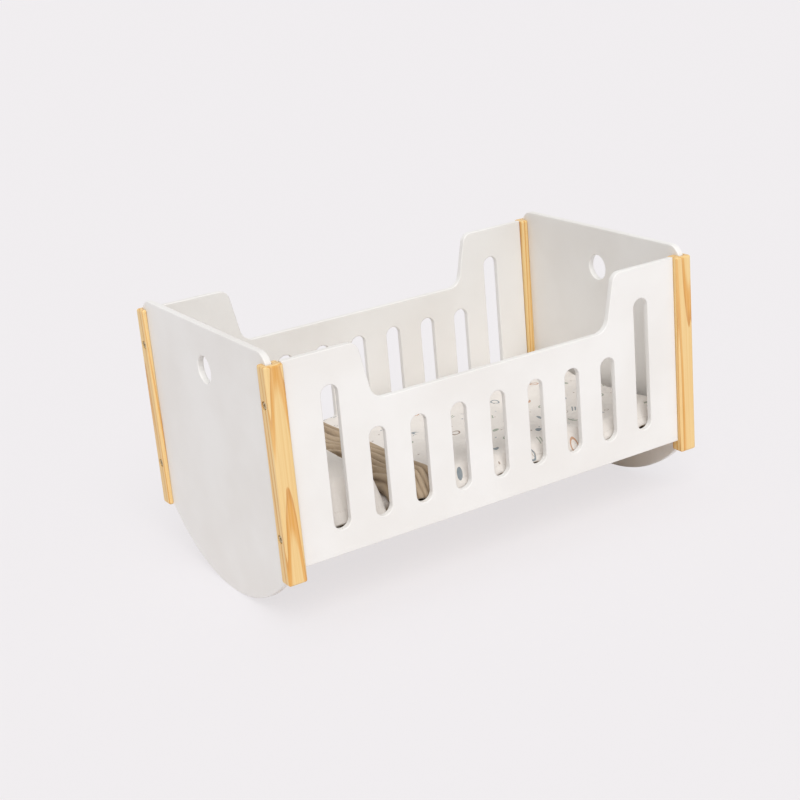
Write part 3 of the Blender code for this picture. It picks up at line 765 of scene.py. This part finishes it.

# The cuff's gathers: how they wander and run aslant, how sharp they are, their middle height, how much of
# them is left along the falling edges, how far up their sides the painted shade in their valleys reaches, and
# over what length that painted shade starts
GATHER_WANDER = 0.016
GATHER_ASLANT = 0.07
GATHER_POWER = 0.8
GATHER_MIDDLE = 0.72
GATHER_KEPT = 0.72
GATHER_SHADE = 0.80
GATHER_START = 0.004

# The pad's thickness at its hems and what its filling adds, and how much of its folds its hidden side has
HEM_SHARE = 0.12
FILLING_SHARE = 0.80
HIDDEN_SHARE = 0.25

# The pillow: its flat case against its filled size, how square its crown is each way, how far its sides draw
# in, how much of it slopes below, and the puckers along its seams: their height, turns and start, and their
# share below
CASE_SHARES = (1.2, 1.1)
CROWN_POWERS = (2.6, 3.6)
PILLOW_DRAWN = (0.004, 0.003)
PILLOW_SEAT_SHARE = 0.6
PUCKER_HEIGHT = 0.0009
PUCKER_TURNS = 46
PUCKER_START = 6
PUCKER_BELOW = 0.5

# The pillow's sides fall past the mattress, from inside its edge over a run and by shares of the seam's
# height; its filling has dents and creases, and stays this far under the solid's top
PILLOW_FALL_INSIDE = 0.010
PILLOW_FALL_RUN = 0.013
PILLOW_FALL_SHARE = 2.1
PILLOW_DENT = 0.005
PILLOW_CREASE = 0.003
PILLOW_CREASES = (1.1, 0.03)
PILLOW_TOP_PLAY = 0.002

# The mattress: how far its sides draw in, its coarser mesh, and the room left for its dents
MATTRESS_DRAWN = 0.002
MATTRESS_COARSENESS = 1.6
MATTRESS_DENT = 0.0006
MATTRESS_PLAY = 0.0007

# The simulated cloth, and how far it may swell past the solids' boxes
PILLOW_ROOM = (0, 0.011, 0.013)
QUILT_ROOM = (0.003, 0, 0.004)
RUFFLE_FRAMES = 14
CLOTH_SETTINGS = {
    "quality": 5,
    "mass": 0.15,
    "use_pressure": True,
    "tension_stiffness": 12,
    "compression_stiffness": 12,
    "shear_stiffness": 3,
    "bending_stiffness": 0.12,
}


def smooth_step(value):
    """0 up to 0, 1 from 1 on, and eased between them."""
    value = min(1.0, max(0.0, value))
    return value * value * (3 - 2 * value)


def quarter_round(share):
    """From 0, where it is steep, to 1, where it is level, and 1 beyond."""
    return math.sqrt(1 - (1 - min(1.0, share)) ** 2)


def drift(x, y, per_x, per_y, seed):
    """A smooth uneven value about 0, with so many swings per unit each way; the same in every run."""
    return noise.noise(Vector((x * per_x, y * per_y, seed)))


def crease(lengthwise, crosswise, turn, width):
    """The height of soft creases along one direction, from 0 to 1: rounded above, sharp in their valleys."""
    along = lengthwise * math.cos(turn) + crosswise * math.sin(turn)
    across = crosswise * math.cos(turn) - lengthwise * math.sin(turn)
    wander = noise.noise(Vector((along / width / 5, across / width / 3, turn)))
    wave = noise.noise(Vector((along / width / 4, across / width + wander * CREASE_WANDER, turn + 9)))
    return min(1.0, abs(wave) * CREASE_STEEPNESS) ** CREASE_ROUNDNESS


def spaced(whole, count):
    """The ends of equal parts of a length."""
    return [whole * step / count for step in range(count + 1)]


def two_sided_cloth(name, row_places, columns, width, point, depth=None):
    """A closed pad of two cloths sewn together along their hems.

    row_places are the rows' places along the flat cloth, and width is how wide it is.
    point(row, column, side) gives a place, with side 1 for the outer cloth and -1 for the inner one, whose
    faces have material 1. depth(row, column) gives the painted shade deep in a fold, from 0 to 1, kept as a
    point attribute.
    """
    rows = len(row_places) - 1
    form = bmesh.new()
    cloth_map = form.loops.layers.uv.new("cloth")
    # A point attribute for the painted shade in the folds
    painted_fold_shade = form.verts.layers.float.new(FOLD_SHADE)
    sheets = {}
    for side in (1, -1):
        for row in range(rows + 1):
            for column in range(columns + 1):
                at_hem = row in (0, rows) or column in (0, columns)
                if side == -1 and at_hem:
                    sheets[row, column, side] = sheets[row, column, 1]
                else:
                    sheets[row, column, side] = form.verts.new(point(row, column, side))
                    sheets[row, column, side][painted_fold_shade] = depth(row, column) if depth else 0.0
    for side in (1, -1):
        for row in range(rows):
            for column in range(columns):
                corners = [(row, column), (row + 1, column), (row + 1, column + 1), (row, column + 1)]
                if side == -1:
                    corners.reverse()
                face = form.faces.new([sheets[row_at, column_at, side] for row_at, column_at in corners])
                face.material_index = 0 if side == 1 else 1
                face.smooth = True
                for loop, (row_at, column_at) in zip(face.loops, corners):
                    loop[cloth_map].uv = row_places[row_at], width * column_at / columns
    bmesh.ops.recalc_face_normals(form, faces=form.faces)
    mesh = bpy.data.meshes.new(name)
    form.to_mesh(mesh)
    form.free()
    return mesh


def ruffle(piece, pressure, slack, cap, low, high):
    """Let the cloth swell and pucker a little, without leaving its room.

    The cloth gets some slack, air pressure fills it, and no point moves further than the cap or past the
    corners.
    """
    mesh = piece.data
    before = [vertex.co.copy() for vertex in mesh.vertices]
    cloth = piece.modifiers.new("cloth", "CLOTH")
    for name, setting in CLOTH_SETTINGS.items():
        setattr(cloth.settings, name, setting)
    cloth.settings.uniform_pressure_force = pressure
    cloth.settings.shrink_min = -slack
    cloth.settings.effector_weights.gravity = 0
    cloth.collision_settings.use_collision = False
    cloth.point_cache.frame_start = 1
    cloth.point_cache.frame_end = RUFFLE_FRAMES
    for step in range(1, RUFFLE_FRAMES + 1):
        bpy.context.scene.frame_set(step)
    moved = evaluated_mesh(piece)
    after = [vertex.co.copy() for vertex in moved.vertices]
    bpy.data.meshes.remove(moved)
    piece.modifiers.remove(cloth)
    bpy.context.scene.frame_set(1)
    for vertex, start, end in zip(mesh.vertices, before, after):
        shift = end - start
        if shift.length > cap:
            shift *= cap / shift.length
        vertex.co = [min(high[axis], max(low[axis], start[axis] + shift[axis])) for axis in range(3)]


def smooth_piece(piece):
    """Round off the cloth's mesh."""
    rounding = piece.modifiers.new("smooth", "SUBSURF")
    rounding.levels = 1
    rounding.render_levels = 1


class QuiltShape:
    """The quilt's middle layer: flat from the foot to the head edge, a half turn, and the cuff lying back."""

    def __init__(self, sizes):
        low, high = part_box("quilt")
        self.thickness = sizes.quilt_padding
        self.turn = sizes.quilt_layers / 2
        self.foot = high.x
        self.head = low.x + self.turn + self.thickness / 2 + QUILT_HEAD_PLAY
        self.half_width = high.y
        self.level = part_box("mattress")[1].z + BEDDING_GAP + self.thickness / 2
        self.flat_length = self.foot - self.head
        self.turn_length = math.pi * self.turn
        self.total = self.flat_length + self.turn_length + sizes.quilt_cuff

    def at(self, distance):
        """The middle layer's place at a distance from the foot along the cloth: how far along the bed and how
        high it lies, and the direction, lengthwise and up, from it to the printed cloth."""
        if distance < self.flat_length:
            return self.foot - distance, 0.0, (0.0, 1.0)
        if distance < self.flat_length + self.turn_length:
            turned = (distance - self.flat_length) / self.turn
            inward = (math.sin(turned), math.cos(turned))
            return self.head - self.turn * inward[0], self.turn - self.turn * inward[1], inward
        return self.head + distance - self.flat_length - self.turn_length, 2 * self.turn, (0.0, -1.0)


def quilt_fall(crosswise, half_width):
    """From 0 over the mattress to 1 at the two long edges, which hang past it."""
    return smooth_step((abs(crosswise) - half_width + EDGE_RUN) / EDGE_RUN)


def quilt_mesh(sizes):
    """The quilt, a pad of printed cotton and lining that is folded and creased, and its flat size."""
    shape = QuiltShape(sizes)
    cloth_size = (shape.total, 2 * shape.half_width)
    turned_length = shape.total - shape.flat_length
    flat_rows = round(shape.flat_length / sizes.cloth_mesh)
    turned_rows = round(turned_length / sizes.cuff_mesh)
    distances = spaced(shape.flat_length, flat_rows)[:-1]
    distances += [shape.flat_length + place for place in spaced(turned_length, turned_rows)]
    columns = round(2 * shape.half_width / sizes.cloth_mesh)

    def gathers(distance, crosswise):
        """The height of the cuff's gathered folds, from 0 in a valley to 1 on a crest."""
        bend = GATHER_WANDER * drift(crosswise, distance, *GATHER_DRIFT) + GATHER_ASLANT * crosswise
        return abs(math.sin((distance + bend) * math.pi / sizes.fold_pitch)) ** GATHER_POWER

    def softness(distance, lengthwise, crosswise, turned):
        """How far the middle layer lies off its plain form: folds, creases and the cuff's gathers."""
        phase = (lengthwise + FOLD_ASLANT * crosswise) / FOLD_LENGTH * math.tau
        fold = sizes.quilt_fold * (1 - math.cos(phase)) / 2
        broad = crease(lengthwise, crosswise, *BROAD_CREASES)
        narrow = crease(lengthwise, crosswise, *NARROW_CREASES)
        fold += sizes.quilt_crease * ((broad + NARROW_SHARE * narrow) / (1 + NARROW_SHARE) - CREASE_MEAN)
        least, mean, swing = GATHER_PATCH_SHARES
        uneven = max(least, mean + swing * drift(crosswise, distance, *GATHER_PATCHES))
        gathered = sizes.fold_height * (gathers(distance, crosswise) - GATHER_MIDDLE) * uneven
        return fold * (1 - turned) + gathered * turned

    def point(row, column, side):
        distance = distances[row]
        lengthwise, height, inward = shape.at(distance)
        turned = smooth_step((distance - shape.flat_length) / (0.5 * shape.turn_length))
        lying_back = smooth_step((distance - shape.flat_length) / shape.turn_length)
        tuck_end = shape.head + sizes.quilt_cuff + TUCK_PAST_HEM
        under_cuff = smooth_step((tuck_end - lengthwise) / TUCK_RUN) * (1 - lying_back)
        share = 2 * column / columns - 1
        crosswise = (shape.half_width - sizes.tuck * under_cuff) * share
        falling = quilt_fall(share * shape.half_width, shape.half_width)
        drop = (sizes.quilt_drop * (1 - lying_back) + sizes.cuff_drop * lying_back) * falling
        ripple = lengthwise / RIPPLE_PITCH * math.pi + RIPPLE_WANDER * drift(lengthwise, 0, *RIPPLE_DRIFT)
        drape = RIPPLE_HEIGHT * math.sin(ripple)
        hem = min(distance, shape.total - distance, shape.half_width * (1 - abs(share)))
        full = quarter_round(hem / sizes.hem)
        half = shape.thickness / 2 * (HEM_SHARE + FILLING_SHARE * full)
        if distance > shape.flat_length + shape.turn_length:
            towards_back = (share + 1) / 2
            lengthwise -= (lengthwise - shape.head) * sizes.cuff_narrowing * towards_back
        outward = Vector((-inward[0], 0, -inward[1])) if distance > shape.flat_length else Vector((0, 0, 1))
        place = Vector((lengthwise, crosswise, shape.level + height - drop + drape * falling))
        seen = 1.0 if (side == -1) == (distance > shape.flat_length) else HIDDEN_SHARE
        kept = 1 - falling * (1 - GATHER_KEPT * turned)
        place += outward * softness(distance, lengthwise, crosswise, turned) * kept * seen
        return place + side * half * Vector((inward[0], 0, inward[1]))

    # Painted shade in the valleys of the cuff's gathers, in uneven patches, fading in where the quilt turns
    # back
    def depth(row, column):
        distance = distances[row]
        crosswise = shape.half_width * (2 * column / columns - 1)
        valley_shade = smooth_step(1 - gathers(distance, crosswise) / GATHER_SHADE)
        least, mean, swing = SHADE_PATCH_SHARES
        uneven = min(1.0, max(least, mean + swing * drift(crosswise, distance, *SHADE_PATCHES)))
        return valley_shade * uneven * smooth_step((distance - shape.flat_length) / GATHER_START)

    mesh = two_sided_cloth("quilt_cover", distances, columns, cloth_size[1], point, depth)
    return mesh, cloth_size


def pillow_mesh(sizes):
    """A filled case, crowned above, flat below, drawn in and puckered along its seams; and its flat size."""
    low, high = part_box("pillow")
    middle = (low + high) / 2
    half = (high - low) / 2
    rows = round(2 * half.x / sizes.cloth_mesh)
    columns = round(2 * half.y / sizes.cloth_mesh)
    seam = sizes.pillow_seam
    cloth_size = (2 * half.x * CASE_SHARES[0], 2 * half.y * CASE_SHARES[1])

    def point(row, column, side):
        along, across = 2 * row / rows - 1, 2 * column / columns - 1
        full = math.sqrt((1 - abs(along) ** CROWN_POWERS[0]) * (1 - abs(across) ** CROWN_POWERS[1]))
        drawn_x = PILLOW_DRAWN[0] * (1 - across ** 2)
        drawn_y = PILLOW_DRAWN[1] * (1 - along ** 2)
        x = middle.x + along * (half.x - drawn_x)
        y = middle.y + across * (half.y + sizes.pillow_overhang - drawn_y)
        hanging = smooth_step((abs(y - middle.y) - half.y + PILLOW_FALL_INSIDE) / PILLOW_FALL_RUN)
        near_seam = (1 - full) * min(1.0, full * PUCKER_START)
        along_seam = along if abs(across) > abs(along) else across
        pucker = math.sin(along_seam * PUCKER_TURNS) * PUCKER_HEIGHT * near_seam
        dent = PILLOW_DENT * drift(x, y, *PILLOW_DENTS) - PILLOW_CREASE * (1 - crease(x, y, *PILLOW_CREASES))
        edge = low.z + seam - PILLOW_FALL_SHARE * seam * hanging
        if side == 1:
            crown = high.z - low.z - seam - PILLOW_TOP_PLAY
            return Vector((x, y, edge + crown * full + (dent + pucker) * full))
        below = (edge - low.z) * min(1.0, full / PILLOW_SEAT_SHARE)
        return Vector((x, y, edge - below + pucker * PUCKER_BELOW * (1 - full)))

    mesh = two_sided_cloth("pillow_cover", spaced(cloth_size[0], rows), columns, cloth_size[1], point)
    return mesh, cloth_size


def mattress_mesh(sizes):
    """A flat pad whose sides draw in a little between its corners; and its flat size."""
    low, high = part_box("mattress")
    middle = (low + high) / 2
    half = (high - low) / 2
    cloth_size = (2 * half.x, 2 * half.y)
    rows = round(2 * half.x / (sizes.cloth_mesh * MATTRESS_COARSENESS))
    columns = round(2 * half.y / (sizes.cloth_mesh * MATTRESS_COARSENESS))

    def point(row, column, side):
        along, across = 2 * row / rows - 1, 2 * column / columns - 1
        x = middle.x + along * (half.x - MATTRESS_DRAWN * (1 - across ** 2))
        y = middle.y + across * (half.y - MATTRESS_DRAWN * (1 - along ** 2))
        hem = min((1 - abs(along)) * half.x, (1 - abs(across)) * half.y)
        full = quarter_round(hem / half.z)
        dent = MATTRESS_DENT * drift(x, y, *MATTRESS_DENTS)
        return Vector((x, y, middle.z + side * (half.z - MATTRESS_PLAY) * full + dent * full))

    mesh = two_sided_cloth("mattress_cover", spaced(cloth_size[0], rows), columns, cloth_size[1], point)
    return mesh, cloth_size


# Operators

class DOLLBED_OT_posts(bpy.types.Operator):
    """Finish the four posts in lacquered pine, each sawn from another place in the log."""

    bl_idname = "doll_bed.posts"
    bl_label = "Posts"

    def execute(self, context):
        scene = context.scene
        for corner in CORNERS:
            name = f"post_{corner}"
            dress_node(name, pine(name, "Z", scene.doll_bed_colours, scene.doll_bed_sizes))
        return {"FINISHED"}


class DOLLBED_OT_panels(bpy.types.Operator):
    """Build the painted side and end panels with fine rounded edges."""

    bl_idname = "doll_bed.panels"
    bl_label = "Panels"

    def execute(self, context):
        sizes = context.scene.doll_bed_sizes
        paint = white_paint(context.scene.doll_bed_colours)
        for side in SIDES:
            node = f"side_panel_{side}"
            low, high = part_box(node)
            outlines = side_panel_outlines(low, high, sizes)
            mesh = board_mesh(f"{node}_board", outlines, high.y - low.y, sizes.board_edge)
            stand_up(mesh, (math.pi / 2, 0, 0), (0, (low.y + high.y) / 2, 0))
            self.place(mesh, node, paint)
        for end in ENDS:
            node = f"end_panel_{end}"
            low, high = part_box(node)
            outlines = end_panel_outlines(low, high, sizes)
            mesh = board_mesh(f"{node}_board", outlines, high.x - low.x, sizes.board_edge)
            stand_up(mesh, (math.pi / 2, 0, math.pi / 2), ((low.x + high.x) / 2, 0, 0))
            self.place(mesh, node, paint)
        return {"FINISHED"}

    def place(self, mesh, node, paint):
        piece = new_piece(mesh.name, mesh, paint)
        flat_faces = piece.modifiers.new("flat_faces", "WEIGHTED_NORMAL")
        flat_faces.keep_sharp = True
        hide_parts(node)
        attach(piece, "frame")


class DOLLBED_OT_base(bpy.types.Operator):
    """Finish the plywood base board and the pine cleats that carry it."""

    bl_idname = "doll_bed.base"
    bl_label = "Base"

    def execute(self, context):
        scene = context.scene
        dress_node("base_board", plywood(scene.doll_bed_colours))
        for side in SIDES:
            name = f"base_cleat_{side}"
            dress_node(name, pine(name, "X", scene.doll_bed_colours, scene.doll_bed_sizes))
        return {"FINISHED"}


class DOLLBED_OT_screws(bpy.types.Operator):
    """Finish the eight screws in plated steel."""

    bl_idname = "doll_bed.screws"
    bl_label = "Screws"

    def execute(self, context):
        steel = plated_steel(context.scene.doll_bed_colours)
        for corner in CORNERS:
            for level in (1, 2):
                dress_node(f"screw_{corner}_{level}", steel)
        return {"FINISHED"}


class DOLLBED_OT_mattress(bpy.types.Operator):
    """Build the mattress, a flat pad in plain cotton."""

    bl_idname = "doll_bed.mattress"
    bl_label = "Mattress"

    def execute(self, context):
        sizes, colours = context.scene.doll_bed_sizes, context.scene.doll_bed_colours
        mesh, cloth_size = mattress_mesh(sizes)
        cotton = plain_cotton("plain_cotton", colours.mattress, cloth_size, sizes)
        mattress = new_piece("mattress_cover", mesh, cotton, cotton)
        smooth_piece(mattress)
        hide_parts("mattress")
        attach(mattress, "mattress")
        return {"FINISHED"}


class DOLLBED_OT_pillow(bpy.types.Operator):
    """Build the pillow and let its cloth pucker."""

    bl_idname = "doll_bed.pillow"
    bl_label = "Pillow"

    def execute(self, context):
        sizes, colours = context.scene.doll_bed_sizes, context.scene.doll_bed_colours
        mesh, cloth_size = pillow_mesh(sizes)
        cotton = plain_cotton("pillow_cotton", colours.cotton, cloth_size, sizes)
        pillow = new_piece("pillow_cover", mesh, cotton, cotton)
        low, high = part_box("pillow")
        room = Vector(PILLOW_ROOM)
        ruffle(pillow, pressure=2.0, slack=0.05, cap=0.005, low=low - room, high=high + room)
        smooth_piece(pillow)
        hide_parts("pillow")
        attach(pillow, "pillow")
        return {"FINISHED"}


class DOLLBED_OT_quilt(bpy.types.Operator):
    """Build the quilt, printed outside and plain inside, with its head edge turned back."""

    bl_idname = "doll_bed.quilt"
    bl_label = "Quilt"

    def execute(self, context):
        sizes, colours = context.scene.doll_bed_sizes, context.scene.doll_bed_colours
        mesh, cloth_size = quilt_mesh(sizes)
        outside = printed_cotton("quilt_cotton", colours, cloth_size, sizes)
        inside = plain_cotton("lining_cotton", colours.lining, cloth_size, sizes)
        quilt = new_piece("quilt_cover", mesh, outside, inside)
        low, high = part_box("quilt")
        room = Vector(QUILT_ROOM)
        ruffle(quilt, pressure=1.2, slack=0.06, cap=0.0010, low=low - room, high=high + room)
        smooth_piece(quilt)
        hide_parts("quilt")
        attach(quilt, "quilt")
        return {"FINISHED"}


class DOLLBED_OT_stage(bpy.types.Operator):
    """Set the floor, the even light from all round, the broad light and the camera."""

    FLOOR_RADIUS = 9.0
    FLOOR_SIDES = 96

    bl_idname = "doll_bed.stage"
    bl_label = "Stage"

    def execute(self, context):
        stage = context.scene.doll_bed_stage
        backdrop = context.scene.doll_bed_colours.floor
        self.make_floor(stage, backdrop)
        self.make_world(stage, backdrop)
        self.make_key(stage)
        self.make_camera(stage)
        context.scene.view_settings.view_transform = "Standard"
        return {"FINISHED"}

    def make_floor(self, stage, backdrop):
        """A plain matt floor, almost of one tone."""
        form = bmesh.new()
        bmesh.ops.create_circle(form, cap_ends=True, segments=self.FLOOR_SIDES, radius=self.FLOOR_RADIUS)
        mesh = bpy.data.meshes.new("floor")
        form.to_mesh(mesh)
        form.free()
        nodes = Nodes("floor")
        cloudy = nodes.noise(nodes.place(), scale=2.0)
        tone = nodes.mix(cloudy * 0.04, backdrop, tint(228, 226, 226))
        material = nodes.finish(Base_Color=tone, Roughness=0.9, Specular_IOR_Level=0.1)
        self.lift_shadows(nodes, stage, backdrop)
        new_piece("floor", mesh, material)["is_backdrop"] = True

    def lift_shadows(self, nodes, stage, backdrop):
        """Let the camera see the floor paler than it is lit, so that shadows on it stay light."""
        seen = nodes.add("ShaderNodeLightPath", output="Is Camera Ray")
        glow = nodes.add("ShaderNodeEmission", None, {"Color": (*backdrop, 1.0), "Strength": 1.0})
        lit = nodes.given("Principled BSDF")
        surface = nodes.add("ShaderNodeMixShader", None, {0: seen * stage.pale_shadow, 1: lit, 2: glow})
        nodes.show(surface, "Material Output")

    def make_world(self, stage, backdrop):
        """An even pale light, which the camera, gloss and glass see as the backdrop."""
        world = bpy.data.worlds.new("studio")
        nodes = NodeTree(world)
        light = nodes.given("Background")
        nodes.connect(light.socket.node, {"Color": (1.0, 1.0, 1.0, 1.0), "Strength": stage.ambient})
        pale = nodes.add("ShaderNodeBackground", None, {"Color": (*backdrop, 1.0)})
        rays = nodes.add("ShaderNodeLightPath", output="Is Camera Ray")
        seen = rays.largest(rays.output("Is Glossy Ray")).largest(rays.output("Is Transmission Ray"))
        surface = nodes.add("ShaderNodeMixShader", None, {0: seen, 1: light, 2: pale})
        nodes.show(surface, "World Output")
        bpy.context.scene.world = world

    def make_key(self, stage):
        """One broad soft light, even over the whole floor."""
        lamp = bpy.data.lights.new("key_light", "SUN")
        lamp.energy = stage.key
        lamp.angle = stage.softness
        piece = new_piece("key_light", lamp)
        piece.rotation_euler = Vector(stage.key_from).to_track_quat("Z", "Y").to_euler()

    def make_camera(self, stage):
        """The camera at the photograph's angle, leaning by its roll."""
        camera = bpy.data.cameras.new("camera")
        camera.lens = stage.lens
        camera.sensor_width = 36.0
        camera.clip_start = 0.05
        piece = new_piece("camera", camera)
        piece.location = stage.camera_place
        tilt, roll, heading = stage.camera_turn
        aim = Matrix.Rotation(heading, 3, "Z") @ Matrix.Rotation(tilt, 3, "X")
        piece.rotation_euler = (aim @ Matrix.Rotation(-roll, 3, "Z")).to_euler()
        bpy.context.scene.camera = piece


class DOLLBED_PT_builder(bpy.types.Panel):
    """The bed's pieces, sizes and colours."""

    bl_idname = "DOLLBED_PT_builder"
    bl_label = "Doll Rocking Bed"
    bl_space_type = "VIEW_3D"
    bl_region_type = "UI"
    bl_category = "Doll Bed"

    def draw(self, context):
        for operator in OPERATORS:
            self.layout.operator(operator.bl_idname)
        scene = context.scene
        groups = {
            "Sizes": scene.doll_bed_sizes,
            "Colours": scene.doll_bed_colours,
            "Stage": scene.doll_bed_stage,
        }
        for title, settings in groups.items():
            column = self.layout.column(align=True)
            column.label(text=title)
            for name in settings.__annotations__:
                column.prop(settings, name)


OPERATORS = (
    DOLLBED_OT_posts,
    DOLLBED_OT_panels,
    DOLLBED_OT_base,
    DOLLBED_OT_screws,
    DOLLBED_OT_mattress,
    DOLLBED_OT_pillow,
    DOLLBED_OT_quilt,
    DOLLBED_OT_stage,
)
CLASSES = (BedSizes, BedColours, StageSettings, *OPERATORS, DOLLBED_PT_builder)


def register():
    for thing in CLASSES:
        bpy.utils.register_class(thing)
    bpy.types.Scene.doll_bed_sizes = PointerProperty(type=BedSizes)
    bpy.types.Scene.doll_bed_colours = PointerProperty(type=BedColours)
    bpy.types.Scene.doll_bed_stage = PointerProperty(type=StageSettings)


def unregister():
    del bpy.types.Scene.doll_bed_stage
    del bpy.types.Scene.doll_bed_colours
    del bpy.types.Scene.doll_bed_sizes
    for thing in reversed(CLASSES):
        bpy.utils.unregister_class(thing)


def main():
    register()
    bpy.ops.doll_bed.posts()
    bpy.ops.doll_bed.panels()
    bpy.ops.doll_bed.base()
    bpy.ops.doll_bed.screws()
    bpy.ops.doll_bed.mattress()
    bpy.ops.doll_bed.pillow()
    bpy.ops.doll_bed.quilt()
    bpy.ops.doll_bed.stage()
    boxes = {"cad": CAD_BOX, "visual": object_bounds()}
    {name: [[float(value) for value in corner] for corner in box] for name, box in boxes.items()}


if __name__ == "__main__":
    main()
